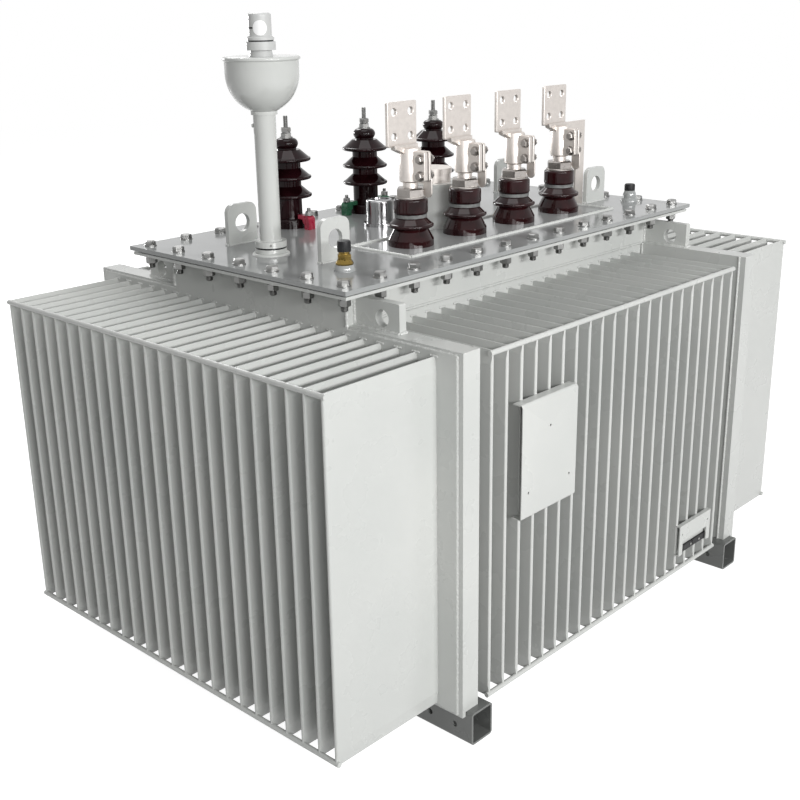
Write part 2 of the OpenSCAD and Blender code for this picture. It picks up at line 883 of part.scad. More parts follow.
module oil_level_device() {
  groove_z = device_neck_h + device_ring_h;
  flare_z = groove_z + device_groove_h;
  waist_z = flare_z + device_flare_h;
  body_r = device_body_d / 2;
  color(tin)
    at_filler(filler_pipe_top + oil_cup_h)
      rotate_extrude() {
        polygon([[0, 0], [device_foot_d / 2, 0], [device_neck_d / 2, device_neck_h],
          [device_ring_d / 2, device_neck_h], [device_ring_d / 2, groove_z],
          [device_neck_d / 2, groove_z], [device_neck_d / 2, flare_z],
          [device_flare_d / 2, flare_z], [device_flare_d / 2, waist_z],
          [body_r, waist_z + device_waist_h], [body_r, level_device_h - device_edge_r],
          [body_r - device_edge_r, level_device_h], [0, level_device_h]]);
        translate([body_r - device_edge_r, level_device_h - device_edge_r])
          circle(device_edge_r);
      }
}

// Pressure relief cap on its own flange
module relief_valve() {
  color(zinc)
    translate([relief_x, relief_y, deck_z])
      difference() {
        rotate_extrude() {
          square([relief_flange_d / 2, relief_flange_t]);
          square([relief_d / 2, relief_h - relief_edge_r]);
          square([relief_d / 2 - relief_edge_r, relief_h]);
          translate([relief_d / 2 - relief_edge_r, relief_h - relief_edge_r])
            circle(relief_edge_r);
        }
        translate([0, 0, relief_h - relief_dish])
          cylinder(d = relief_d - 2 * relief_rim, h = relief_dish + cut);
      }
}

// Tap changer: a painted round housing with a knob on top
module tap_changer_housing() {
  color(paint)
    translate([tap_x, tap_y, deck_z])
      rotate_extrude() {
        square([tap_d / 2 - tap_lid_inset, tap_h]);
        translate([0, tap_h - tap_lid_t])
          square([tap_d / 2, tap_lid_t]);
      }
}
module tap_changer_cap() {
  color(tin)
    translate([tap_x, tap_y, deck_z + tap_h]) {
      cylinder(d = tap_neck_d, h = tap_neck_h);
      translate([0, 0, tap_neck_h])
        cylinder(d = tap_cap_d, h = tap_cap_t);
    }
}

// Bleed valves at the cover's front corners: a foot, a flared body and a cap
module bleed_valve(h) {
  rotate_extrude()
    polygon([[0, 0], [valve_foot_d / 2, 0], [valve_foot_d / 2, h * valve_foot_share],
      [valve_flare_d / 2, h * valve_foot_share], [valve_body_d / 2, h * valve_flare_share],
      [valve_body_d / 2, h * valve_body_share], [valve_cap_d / 2, h * valve_body_share],
      [valve_cap_d / 2, h], [0, h]]);
}
module bleed_valves() {
  color(brass) {
    translate([valve_left_x, valve_left_y, deck_z])
      bleed_valve(valve_left_h);
    translate([valve_right_x, valve_right_y, deck_z])
      bleed_valve(valve_right_h);
  }
}

// Bent sheet brackets whose top and bottom returns seat on the front fin tips
module sheet_bracket(w, h, stand) {
  translate([-w / 2, -stand, -h / 2]) {
    cube([w, bracket_sheet_t, h]);
    for (z = [0, h - bracket_sheet_t])
      translate([0, 0, z])
        cube([w, stand, bracket_sheet_t]);
  }
}
module bracket_hole(x, z, stand) {
  translate([x, bracket_sheet_t + cut - stand, z])
    rotate([90, 0, 0])
      cylinder(d = bracket_hole_d, h = bracket_sheet_t + 2 * cut);
}
module plate_bracket() {
  color(paint)
    translate([plate_x, -front_tip_y, plate_mid_z])
      difference() {
        sheet_bracket(plate_w, plate_h, plate_stand);
        bracket_hole(0, plate_hole_high, plate_stand);
        for (s = [-1, 1])
          bracket_hole(s * plate_hole_reach, -plate_hole_low, plate_stand);
      }
}
module low_bracket() {
  color(paint)
    translate([low_bracket_x, -front_tip_y, low_bracket_mid_z])
      difference() {
        sheet_bracket(low_bracket_w, low_bracket_h, low_bracket_stand);
        translate([-low_gap_w / 2, -low_bracket_stand - cut, -low_bracket_h / 2 - cut])
          cube([low_gap_w, low_bracket_stand + 2 * cut, low_gap_h + cut]);
        for (s = [-1, 1])
          bracket_hole(s * low_hole_reach, low_hole_rise, low_bracket_stand);
      }
}

base_skid_left();
base_skid_right();
tank_body();
end_frame_left();
end_frame_right();
fin_wall_front();
fin_wall_back();
fin_wall_left();
fin_wall_right();
tank_lugs_left();
tank_lugs_right();
tank_flange();
cover_gasket();
cover();
lv_insert_plate();
cover_lugs_left();
cover_lugs_right();
lv_bushing_1();
lv_bushing_2();
lv_bushing_3();
lv_bushing_4();
lv_gaskets();
lv_nuts();
lv_terminal_1();
lv_terminal_2();
lv_terminal_3();
lv_terminal_4();
neutral_bar();
hv_bushing_1();
hv_bushing_2();
hv_bushing_3();
hv_studs();
hv_clamps_red();
hv_clamps_green();
hv_clamps_yellow();
oil_filler_collar();
oil_filler_pipe();
oil_cup();
oil_level_device();
relief_valve();
tap_changer_housing();
tap_changer_cap();
bleed_valves();
plate_bracket();
low_bracket();
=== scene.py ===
"""Dresses a sealed power transformer.

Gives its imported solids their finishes, adds bolts, welds and small fittings, and sets up a studio stage.
"""

import json
import math

import bmesh
import bpy
from mathutils import Matrix, Vector


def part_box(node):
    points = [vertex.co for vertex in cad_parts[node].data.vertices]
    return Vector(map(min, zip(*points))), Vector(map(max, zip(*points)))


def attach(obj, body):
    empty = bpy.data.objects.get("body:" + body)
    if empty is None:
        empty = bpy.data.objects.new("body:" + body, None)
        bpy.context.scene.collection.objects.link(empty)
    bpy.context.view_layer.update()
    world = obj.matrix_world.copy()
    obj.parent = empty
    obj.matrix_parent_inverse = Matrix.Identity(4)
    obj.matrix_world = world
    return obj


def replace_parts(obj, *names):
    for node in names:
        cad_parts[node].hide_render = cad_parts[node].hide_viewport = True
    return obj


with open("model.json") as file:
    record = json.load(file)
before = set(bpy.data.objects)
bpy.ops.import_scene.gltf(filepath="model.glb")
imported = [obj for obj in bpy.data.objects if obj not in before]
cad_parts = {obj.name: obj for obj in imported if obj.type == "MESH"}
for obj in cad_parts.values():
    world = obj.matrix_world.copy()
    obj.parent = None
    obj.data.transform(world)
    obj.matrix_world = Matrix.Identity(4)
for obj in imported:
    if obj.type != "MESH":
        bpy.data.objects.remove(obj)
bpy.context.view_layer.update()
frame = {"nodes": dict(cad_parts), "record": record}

bl_info = {
    "name": "Power transformer dressing",
    "version": (1, 0, 0),
    "blender": (4, 5, 0),
    "location": "View3D > Sidebar > Transformer",
    "description": "Adds finishes, fasteners, welds and fittings to the packed transformer solids",
    "category": "Object",
}

UP = Vector((0, 0, 1))
LV_PHASES = (1, 2, 3, 4)
HV_PHASES = (1, 2, 3)


def length(name, description, default):
    """A size in metres that a user may change."""
    return bpy.props.FloatProperty(
        name=name, description=description, default=default, unit="LENGTH", precision=4
    )


def share(name, description, default):
    """A plain factor between nothing and one."""
    return bpy.props.FloatProperty(
        name=name, description=description, default=default, subtype="FACTOR", min=0, max=1
    )


def tint(name, description, default):
    """A linear colour."""
    return bpy.props.FloatVectorProperty(
        name=name, description=description, default=default, subtype="COLOR", size=3, min=0, max=1
    )


def angle(name, description, degrees):
    """An angle, given in degrees."""
    return bpy.props.FloatProperty(
        name=name, description=description, default=math.radians(degrees), subtype="ANGLE"
    )


def position(name, description, default):
    """A point in metres."""
    return bpy.props.FloatVectorProperty(
        name=name, description=description, default=default, subtype="TRANSLATION", unit="LENGTH"
    )


def power(name, description, watts):
    """The power of a lamp."""
    return bpy.props.FloatProperty(name=name, description=description, default=watts, unit="POWER")


def amount(name, description, default):
    """A plain number."""
    return bpy.props.FloatProperty(name=name, description=description, default=default)


def count(name, description, default):
    """A whole number of like pieces."""
    return bpy.props.IntProperty(name=name, description=description, default=default)


class EnamelFinish(bpy.types.PropertyGroup):
    """The grey enamel on the tank, the walls and the cover."""

    body: tint("Enamel", "Colour of the grey enamel", (0.520, 0.529, 0.511))
    shade: tint("Enamel in patches", "Tone the enamel drifts to over broad patches", (0.482, 0.494, 0.478))
    # Painted shade: the cover has the same enamel as the walls, and this darker copy paints in the shade
    # that falls on its top.
    deck: tint("Deck enamel", "Colour of the enamel on the cover", (0.300, 0.309, 0.306))
    deck_painted_shade_patches: tint("Deck in patches", "Tone the cover's enamel drifts to", (0.262, 0.272, 0.270))
    # Painted shade: the skids have the same enamel as the walls, and this much darker copy paints in the
    # shade that falls on them under the tank.
    skid_painted_shade: tint("Skid enamel", "Colour of the enamel on the skids", (0.130, 0.135, 0.130))
    wall_roughness: share("Wall roughness", "Roughness of the enamel on the walls", 0.28)
    deck_roughness: share("Deck roughness", "Roughness of the enamel on the cover", 0.11)


class MetalFinish(bpy.types.PropertyGroup):
    """Bare and plated metals, the level device and its label."""

    tin: tint("Tin plate", "Colour of the tinned terminals", (0.620, 0.580, 0.548))
    nut: tint("Terminal nuts", "Colour of the terminals' nuts and bolts", (0.310, 0.290, 0.274))
    zinc: tint("Zinc plate", "Colour of the plated bolts and nuts", (0.235, 0.235, 0.230))
    chrome: tint("Chrome", "Colour of the polished relief cap", (0.330, 0.330, 0.335))
    brass: tint("Brass", "Colour of the bleed valve bodies", (0.230, 0.158, 0.045))
    device: tint("Level device", "Colour of the level device", (0.500, 0.506, 0.498))
    label: tint("Label", "Colour of the bare round label", (0.80, 0.80, 0.80))


class InsulatorFinish(bpy.types.PropertyGroup):
    """Glazed porcelain, seals and phase colours."""

    brown: tint("Brown glaze", "Colour of the low-voltage porcelain", (0.015, 0.0032, 0.0038))
    maroon: tint("Maroon glaze", "Colour of the high-voltage porcelain", (0.010, 0.0022, 0.0030))
    black: tint("Black rubber", "Colour of the cover gasket and the valve caps", (0.008, 0.008, 0.009))
    grey: tint("Grey rubber", "Colour of the bushing gaskets", (0.125, 0.127, 0.125))
    red: tint("Red phase", "Colour of the first pair of claws", (0.330, 0.018, 0.045))
    green: tint("Green phase", "Colour of the second pair of claws", (0.010, 0.115, 0.050))
    yellow: tint("Yellow phase", "Colour of the third pair of claws", (0.620, 0.330, 0.015))


class CoverBoltSizes(bpy.types.PropertyGroup):
    """Bolts that close the cover."""

    flats: length("Across flats", "Width of a bolt head across its flats", 0.024)
    head: length("Head height", "Height of a bolt head", 0.010)
    nut: length("Nut height", "Height of a nut under the flange", 0.0148)
    spring: length("Spring washer", "Thickness of the spring washer over a nut", 0.004)
    thread: length("Thread", "Diameter of the bolt's thread", 0.016)
    tail: length("Tail", "Length of thread below the nut", 0.011)
    pitch: length("Thread pitch", "Distance from one thread to the next", 0.002)
    washer: length("Washer", "Diameter of a washer", 0.030)
    washer_t: length("Washer thickness", "Thickness of a washer", 0.003)
    inset_x: length("End inset", "Distance of the bolts from the cover's ends", 0.0335)
    inset_y: length("Side inset", "Distance of the bolts from the cover's long edges", 0.039)
    long_row: count("Long row", "Bolts along each long edge", 13)
    short_row: count("Short row", "Bolts along each end, corners included", 7)


class SmallBoltSizes(bpy.types.PropertyGroup):
    """Bolts on the terminals and claws."""

    flats: length("Across flats", "Width of a terminal bolt's head", 0.018)
    head: length("Head height", "Height of a terminal bolt's head", 0.008)
    washer: length("Washer", "Diameter of a terminal bolt's washer", 0.024)
    washer_t: length("Washer thickness", "Thickness of a small washer", 0.0025)
    thread: length("Thread", "Diameter of a terminal bolt", 0.012)
    ear_y: length("Ear bolt reach", "Distance of the ear bolts in front of the bushing's axis", 0.045)
    ear_low: length("Lower ear bolt", "Height of the lower ear bolt over the cover", 0.1675)
    ear_high: length("Upper ear bolt", "Height of the upper ear bolt over the cover", 0.206)
    claw_washer: length("Claw washer", "Diameter of the washer on a claw", 0.020)
    claw_washer_t: length("Claw washer thickness", "Thickness of that washer", 0.002)
    claw_flats: length("Claw nut", "Width of a claw nut across its flats", 0.017)
    claw_nut: length("Claw nut height", "Height of a claw nut", 0.009)
    claw_stud: length("Claw stud", "Diameter of a claw's stud", 0.010)


class TerminalNutSizes(bpy.types.PropertyGroup):
    """Nuts under the low-voltage terminals and on the high-voltage studs."""

    lv_flats: length("LV nut", "Width of a low-voltage nut across its flats", 0.062)
    lv_chamfer: length("LV chamfer", "Chamfer on a low-voltage nut", 0.0035)
    lv_washer: length("LV washer", "Diameter of the washer under a low-voltage nut", 0.072)
    lv_washer_t: length("LV washer thickness", "Thickness of that washer", 0.004)
    lv_turn: angle("LV nut turn", "Turn of the low-voltage nuts", 10)
    hv_flats: length("HV nut", "Width of a high-voltage nut across its flats", 0.024)
    hv_nut: length("HV nut height", "Height of a high-voltage nut", 0.011)
    hv_washer: length("HV washer", "Diameter of the washer on the porcelain", 0.034)
    hv_washer_t: length("HV washer thickness", "Thickness of that washer", 0.003)
    hv_gap: length("HV lock washer", "Thickness of the lock washer between the two nuts", 0.002)
    hv_stud: length("HV stud", "Diameter of the high-voltage stud", 0.012)
    hv_pitch: length("HV thread pitch", "Distance from one thread of the stud to the next", 0.00175)


class TerminalSizes(bpy.types.PropertyGroup):
    """Cast clamp terminals on the low-voltage bushings, measured from the stem's axis."""

    stem: length("Stem", "Diameter of the stem over the nut", 0.036)
    stem_h: length("Stem height", "Height of the stem", 0.013)
    barrel: length("Barrel", "Diameter of the clamp's barrel", 0.052)
    barrel_h: length("Barrel height", "Height of the clamp's barrel", 0.080)
    slit: length("Slit", "Width of the slit between the ears", 0.004)
    ear: length("Front ear", "Thickness of the ear on the bolt heads' side", 0.012)
    back_ear: length("Back ear", "Thickness of the ear on the nuts' side", 0.008)
    reach: length("Ear reach", "Distance from the axis to the ears' ends", 0.058)
    ear_low: length("Ear foot", "Height of the ears' feet over the barrel's foot", 0.004)
    ear_h: length("Ear height", "Height of the ears", 0.070)
    ear_r: length("Ear corner", "Corner radius of the ears", 0.006)
    tab: length("Lock tab", "Thickness of the lock tab", 0.004)
    tab_w: length("Lock tab width", "Width of the lock tab", 0.026)
    tab_hang: length("Lock tab hang", "Drop of the lock tab below the ears' feet", 0.039)
    palm: length("Palm", "Thickness of the palm", 0.009)
    palm_w: length("Palm width", "Width of the palm", 0.098)
    palm_h: length("Palm height", "Height of the palm", 0.102)
    palm_y: length("Palm place", "Distance of the palm behind the axis", 0.008)
    hole: length("Palm hole", "Diameter of a hole in the palm", 0.018)
    hole_pitch: length("Palm hole pitch", "Distance from one hole to the next", 0.056)
    wing: length("Wing", "Thickness of the web under the palm", 0.018)
    wing_h: length("Wing height", "Height of the web on the barrel", 0.014)


class FillerSizes(bpy.types.PropertyGroup):
    """Small parts of the oil filler and the level device."""

    seal_r: length("Seal", "Outer radius of the seal in the collar", 0.0362)
    seal_z: length("Seal height", "Height of the seal over the cover", 0.015)
    seal_t: length("Seal thickness", "Thickness of the seal", 0.004)
    screw: length("Collar screw", "Diameter of the screw in the collar", 0.006)
    screw_z: length("Collar screw height", "Height of that screw over the cover", 0.026)
    sleeve_r: length("Sleeve", "Radius of the sleeve at the pipe's top", 0.0257)
    sleeve_h: length("Sleeve height", "Height of the sleeve", 0.041)
    groove_z: length("Groove", "Height of the dark groove in the level device", 0.031)
    groove_t: length("Groove width", "Width of that groove", 0.003)
    groove_r: length("Groove radius", "Radius of the dark ring in the groove", 0.0290)
    window_z: length("Window", "Height of the level window over the oil cup", 0.060)
    window_t: length("Window width", "Width of the level window's slot", 0.0036)
    device_r: length("Device body", "Radius of the level device's body", 0.026)
    label_r: length("Label", "Radius of the bare round label", 0.016)
    label_turn: angle("Label turn", "Direction that the label faces", 229.5)
    window_turn: angle("Window turn", "Direction of the window's far end", 134)


class BracketSizes(bpy.types.PropertyGroup):
    """Parts on the two brackets at the front fins."""

    strip_x: length("Strip", "Left end of the terminal strip from the bracket's left end", 0.029)
    strip_w: length("Strip width", "Length of the terminal strip", 0.122)
    strip_h: length("Strip height", "Height of the terminal strip", 0.019)
    strip_z: length("Strip foot", "Height of the strip's foot over the bracket's foot", 0.003)
    strip_gap: length("Strip gap", "Gap between the two halves of the strip", 0.003)
    strip_split: share("Strip split", "Where the strip is split, along its length", 0.38)
    back: length("Back plate", "Thickness of the plate behind the strip", 0.002)
    screw: length("Screw", "Diameter of a small screw head", 0.007)
    fold: length("Fold", "Outer radius of the plate bracket's folds", 0.006)


class WeldSizes(bpy.types.PropertyGroup):
    """Weld beads under the enamel."""

    bead: length("Bead", "Radius of a plain weld bead", 0.0035)
    fat_bead: length("Heavy bead", "Radius of the bead round the let-in plate", 0.0050)
    ripple: length("Ripple", "Distance from one ripple of a bead to the next", 0.008)
    swell: share("Swell", "How much a ripple swells the bead", 0.16)
    lip: length("Lip", "Distance of the inner bead from an end frame's long edge", 0.019)
    panel_edge: length("Panel edge", "Distance of an end panel's side from the frame's edge", 0.015)
    panel_top: length("Panel top", "Drop of an end panel's top below the frame's top", 0.008)
    fin_pitch: length("Fin pitch", "Distance from one fin to the next", 0.050)
    fin_drop: length("Fin drop", "Drop of the fins' tops below the frames' tops", 0.018)
    root: length("Root bead", "Length of the bead at a fin's top root", 0.020)
    long_fins: count("Long wall fins", "Fins on each long wall", 21)
    end_fins: count("End wall fins", "Fins on each end wall", 23)


class ValveSizes(bpy.types.PropertyGroup):
    """Bleed valves on the cover."""

    foot_r: length("Foot", "Radius of a valve's foot", 0.024)
    brass_foot: length("Brass valve's foot", "Height of the foot under the brass valve", 0.0135)
    plain_foot: length("Plain valve's foot", "Height of the foot under the plain valve", 0.011)
    brass_hex: length("Brass hexagon", "Width of the brass hexagon across its flats", 0.0285)
    brass_hex_z: length("Hexagon place", "Height of the hexagon over the brass body's foot", 0.0120)
    brass_hex_h: length("Hexagon height", "Height of the brass hexagon", 0.011)
    brass_neck_z: length("Brass neck", "Height of the neck over the brass body's foot", 0.0228)
    cap_r: length("Cap", "Radius of a cap", 0.0150)
    brass_cap_z: length("Brass valve's cap", "Height of its cap over the cover", 0.042)
    brass_cap_h: length("Brass valve's cap height", "Height of that cap itself", 0.024)
    plain_cap_z: length("Plain valve's cap", "Height of its cap over the cover", 0.031)
    plain_cap_h: length("Plain valve's cap height", "Height of that cap itself", 0.019)
    grip: share("Grip", "Depth of the ribs round a cap, as a share of its radius", 0.045)


class StageSettings(bpy.types.PropertyGroup):
    """Camera, lamps and floor."""

    eye: position("Camera", "Place of the camera", (-2.2884, -2.0375, 1.5573))
    azimuth: angle("Azimuth", "Turn of the camera round the part", -46.69)
    elevation: angle("Elevation", "Height angle of the camera", 18.87)
    roll: angle("Roll", "Roll of the camera", -0.95)
    lens: amount("Lens", "Focal length in millimetres", 52.7)
    arc: length("Lamp arc", "Radius of the arc of soft boxes in front of the part", 5.9)
    arc_start: angle("First box", "Turn of the first box from the front towards the left", 2)
    arc_step: angle("Box step", "Turn from one box to the next", 22)
    lamp_z: length("Lamp height", "Height of the boxes in front", 2.35)
    rear: position("Rear lamp place", "Place of the low box behind", (0.3, 5.9, 1.6))
    top: position("Top lamp place", "Place of the box overhead", (-0.4, -0.2, 5.4))
    back: position("Back lamp place", "Place of the high box behind", (2.0, 4.2, 4.8))
    target: position("Lamp target", "Point that every lamp looks at", (0, 0, 0.7))
    box_w: length("Box width", "Width of a low box", 2.1)
    box_h: length("Box height", "Height of a low box", 0.6)
    top_w: length("Top box", "Side of the square box overhead", 3.0)
    back_w: length("Back box", "Side of the square box high behind", 2.0)
    key_power: power("Key lamp", "Power of the box in front", 180)
    side_power: power("Side lamp", "Power of the box half left", 140)
    fill_power: power("Fill lamp", "Power of the box at the left", 55)
    rear_power: power("Rear lamp", "Power of the low box behind", 130)
    top_power: power("Top lamp", "Power of the box overhead", 70)
    back_power: power("Back lamp", "Power of the high box behind", 120)
    ambient: amount("Ambient", "Strength of the even light all round", 0.22)
    floor_glow: amount("Floor glow", "Lift of the floor towards white", 0.90)
    floor_r: length("Floor radius", "Radius of the floor", 14)
    floor: tint("Floor", "Colour of the pale floor", (0.42, 0.42, 0.42))


# Materials

class Finish:
    """A procedural material under construction: a shader and the textures that feed it."""

    def __init__(self, name):
        self.material = bpy.data.materials.new(name)
        self.material.use_nodes = True
        self.nodes = self.material.node_tree.nodes
        self.links = self.material.node_tree.links
        self.shader = self.nodes["Principled BSDF"]
        self.coords = self.nodes.new("ShaderNodeTexCoord")

    def set(self, **values):
        """Set constants on the shader's own sockets."""
        for socket, value in values.items():
            self.shader.inputs[socket.replace("_", " ")].default_value = value
        return self

    def noise(self, scale, detail):
        """A noise over the piece."""
        texture = self.nodes.new("ShaderNodeTexNoise")
        texture.inputs["Scale"].default_value = scale
        texture.inputs["Detail"].default_value = detail
        self.links.new(self.coords.outputs["Object"], texture.inputs["Vector"])
        return texture.outputs["Fac"]

    def tone(self, fac, low, high, start=0.35, end=0.65):
        """Run the base colour from one tone to another over a texture."""
        ramp = self.nodes.new("ShaderNodeValToRGB")
        ramp.color_ramp.elements[0].position = start
        ramp.color_ramp.elements[0].color = (*low, 1)
        ramp.color_ramp.elements[1].position = end
        ramp.color_ramp.elements[1].color = (*high, 1)
        self.links.new(fac, ramp.inputs["Fac"])
        self.links.new(ramp.outputs["Color"], self.shader.inputs["Base Color"])
        return self

    def gloss(self, fac, low, high):
        """Run the roughness between two values over a texture."""
        span = self.nodes.new("ShaderNodeMapRange")
        span.inputs["From Min"].default_value = 0.3
        span.inputs["From Max"].default_value = 0.7
        span.inputs["To Min"].default_value = low
        span.inputs["To Max"].default_value = high
        self.links.new(fac, span.inputs["Value"])
        self.links.new(span.outputs["Result"], self.shader.inputs["Roughness"])
        return self

    def relief(self, fac, strength, distance):
        """Raise the surface a little over a texture."""
        bump = self.nodes.new("ShaderNodeBump")
        bump.inputs["Strength"].default_value = strength
        bump.inputs["Distance"].default_value = distance
        self.links.new(fac, bump.inputs["Height"])
        self.links.new(bump.outputs["Normal"], self.shader.inputs["Normal"])
        return self


def enamel(name, body, shade, roughness, peel):
    """Sprayed enamel: broad drifts of tone, uneven gloss and a fine orange-peel skin."""
    finish = Finish(name)
    finish.tone(finish.noise(scale=3.2, detail=4.0), shade, body)
    finish.gloss(finish.noise(scale=9.0, detail=5.0), roughness - 0.04, roughness + 0.06)
    finish.relief(finish.noise(scale=240.0, detail=2.0), strength=peel, distance=0.0004)
    return finish.material


def glaze(name, colour, roughness, ior):
    """Fired glaze: deep colour that thins in patches, a hard mirror skin and a faint ripple."""
    finish = Finish(name)
    thin, thick = [c * 0.75 for c in colour], [c * 1.6 for c in colour]
    finish.tone(finish.noise(scale=26.0, detail=3.0), thin, thick)
    finish.gloss(finish.noise(scale=60.0, detail=2.0), roughness, roughness + 0.02)
    finish.relief(finish.noise(scale=70.0, detail=1.0), strength=0.06, distance=0.001)
    return finish.set(IOR=ior).material


def plate_metal(name, colour, roughness, grain):
    """Plated or cast metal: mottled tone and gloss over a fine grain."""
    finish = Finish(name)
    dull, bright = [c * 0.96 for c in colour], [c * 1.03 for c in colour]
    finish.tone(finish.noise(scale=120.0, detail=4.0), dull, bright)
    finish.gloss(finish.noise(scale=150.0, detail=3.0), roughness - 0.04, roughness + 0.06)
    finish.relief(finish.noise(scale=700.0, detail=2.0), strength=grain, distance=0.0002)
    return finish.set(Metallic=1.0).material


def rubber(name, colour, roughness):
    """Rubber or moulded plastic: dull, with a faint bloom and pores."""
    finish = Finish(name)
    bloom = [c * 1.5 + 0.004 for c in colour]
    finish.tone(finish.noise(scale=80.0, detail=3.0), colour, bloom)
    finish.gloss(finish.noise(scale=120.0, detail=2.0), roughness - 0.08, roughness + 0.08)
    finish.relief(finish.noise(scale=900.0, detail=2.0), strength=0.12, distance=0.0002)
    return finish.set(IOR=1.3).material


def phase_paint(name, colour):
    """Brushed-on phase paint: glossy, with streaks and a thick skin."""
    finish = Finish(name)
    thin, thick = [c * 0.8 for c in colour], [min(1, c * 1.15) for c in colour]
    finish.tone(finish.noise(scale=70.0, detail=4.0), thin, thick)
    finish.gloss(finish.noise(scale=90.0, detail=3.0), 0.22, 0.36)
    finish.relief(finish.noise(scale=180.0, detail=2.0), strength=0.12, distance=0.0005)
    return finish.material


FINISHES = {}


def make_finishes(scene):
    """Build a finish for each material slot, and those for the filler, the deck, the nuts and the label;
    the deck's and the skids' enamel are darker copies of the wall enamel, painted shade.
    """
    coat, metal, skin = scene.transformer_enamel, scene.transformer_metal, scene.transformer_insulator
    # The skids' painted shade, drifting a little darker still over broad patches.
    skid_painted_shade_drift = [c * 0.9 for c in coat.skid_painted_shade]
    device_shade = [c * 0.92 for c in metal.device]
    label_shade = [c * 0.925 for c in metal.label]
    FINISHES.update(
        paint=enamel("grey_enamel", coat.body, coat.shade, coat.wall_roughness, peel=0.10),
        gloss=enamel("filler_enamel", coat.body, coat.shade, coat.deck_roughness, peel=0.04),
        # deck: the wall enamel darkened, painted shade on the cover's top, the let-in plate and the valve
        # feet
        deck=enamel("deck_enamel_painted_shade", coat.deck, coat.deck_painted_shade_patches, coat.deck_roughness, peel=0.05),
        # paint_base: the wall enamel darkened, painted shade on the skids
        paint_base=enamel("skid_enamel_painted_shade", coat.skid_painted_shade, skid_painted_shade_drift, coat.wall_roughness, peel=0.12),
        device=enamel("device_enamel", metal.device, device_shade, roughness=0.22, peel=0.04),
        label=enamel("white_label", metal.label, label_shade, roughness=0.40, peel=0.02),
        seal=rubber("black_rubber", skin.black, roughness=0.45),
        grey_seal=rubber("grey_rubber", skin.grey, roughness=0.55),
        tinned=plate_metal("tin_plate", metal.tin, roughness=0.42, grain=0.06),
        nut=plate_metal("nut_plate", metal.nut, roughness=0.30, grain=0.03),
        zinc=plate_metal("zinc_plate", metal.zinc, roughness=0.34, grain=0.03),
        chrome=plate_metal("chrome_plate", metal.chrome, roughness=0.20, grain=0.01),
        brass=plate_metal("plain_brass", metal.brass, roughness=0.24, grain=0.05),
        porcelain_brown=glaze("brown_glaze", skin.brown, roughness=0.03, ior=1.34),
        porcelain_maroon=glaze("maroon_glaze", skin.maroon, roughness=0.03, ior=1.27),
        phase_red=phase_paint("red_paint", skin.red),
        phase_green=phase_paint("green_paint", skin.green),
        phase_yellow=phase_paint("yellow_paint", skin.yellow),
    )


# Shapes

def put(bm, part, place):
    """Move a finished part to its place and add it to bm."""
    bmesh.ops.transform(part, matrix=place, verts=part.verts)
    holder = bpy.data.meshes.new("holder")
    part.to_mesh(holder)
    part.free()
    bm.from_mesh(holder)
    bpy.data.meshes.remove(holder)


def add_piece(name, bm, slot, finish=None, crease=32):
    """Turn bm into a finished piece that rides on the fixed frame."""
    bmesh.ops.remove_doubles(bm, verts=bm.verts, dist=1e-6)
    bmesh.ops.recalc_face_normals(bm, faces=bm.faces)
    mesh = bpy.data.meshes.new(name)
    bm.to_mesh(mesh)
    bm.free()
    mesh.shade_smooth()
    mesh.set_sharp_from_angle(angle=math.radians(crease))
    mesh.materials.append(FINISHES[finish or slot])
    piece = bpy.data.objects.new(name, mesh)
    bpy.context.scene.collection.objects.link(piece)
    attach(piece, "root")
    return piece


def turned(outline, steps=28):
    """A solid of revolution about Z from its outline of radius and height."""
    part = bmesh.new()
    verts = [part.verts.new((r, 0, z)) for r, z in outline]
    edges = [part.edges.new(pair) for pair in zip(verts, verts[1:])]
    bmesh.ops.spin(
        part, geom=verts + edges, cent=(0, 0, 0), axis=UP, angle=math.tau, steps=steps, use_merge=True
    )
    bmesh.ops.remove_doubles(part, verts=part.verts, dist=1e-7)
    return part


def swept(section, sweep=math.tau, steps=40):
    """A closed section of radius and height swept about Z, capped where it does not meet itself."""
    part = bmesh.new()
    verts = [part.verts.new((r, 0, z)) for r, z in section]
    edges = [part.edges.new(pair) for pair in zip(verts, verts[1:] + verts[:1])]
    bmesh.ops.spin(
        part, geom=verts + edges, cent=(0, 0, 0), axis=UP, angle=sweep, steps=steps,
        use_merge=sweep >= math.tau,
    )
    bmesh.ops.holes_fill(part, edges=[e for e in part.edges if e.is_boundary], sides=0)
    return part


def break_edges(part, edges, width, segments=1):
    """Bevel some edges by a width."""
    bmesh.ops.bevel(
        part, geom=edges, offset=width, offset_type="OFFSET", segments=segments,
        profile=0.5, affect="EDGES", material=-1,
    )


def ring_section(outer, thickness, low, height):
    """The section of a flat ring."""
    inner = outer - thickness
    return [(inner, low), (outer, low), (outer, low + height), (inner, low + height)]


def block(low, high, edge):
    """A box between two corners with its edges broken."""
    part = bmesh.new()
    low, high = Vector(low), Vector(high)
    place = Matrix.Translation((low + high) / 2) @ Matrix.Diagonal((*(high - low), 1))
    bmesh.ops.create_cube(part, size=1, matrix=place)
    break_edges(part, list(part.edges), edge)
    return part


def rounded(left, low, right, high, radius, steps=6):
    """The outline of an upright rectangle with round corners."""
    corners = ((right, high, 0), (left, high, 1), (left, low, 2), (right, low, 3))
    points = []
    for x, z, quarter in corners:
        cx = x - radius if quarter in (0, 3) else x + radius
        cz = z - radius if quarter < 2 else z + radius
        for k in range(steps + 1):
            turn = (quarter + k / steps) * math.pi / 2
            points.append((cx + radius * math.cos(turn), cz + radius * math.sin(turn)))
    return points


def ring_points(x, z, radius, sides):
    """The corners of a circle in X and Z."""
    turns = [math.tau * k / sides for k in range(sides)]
    return [(x + radius * math.cos(t), z + radius * math.sin(t)) for t in turns]


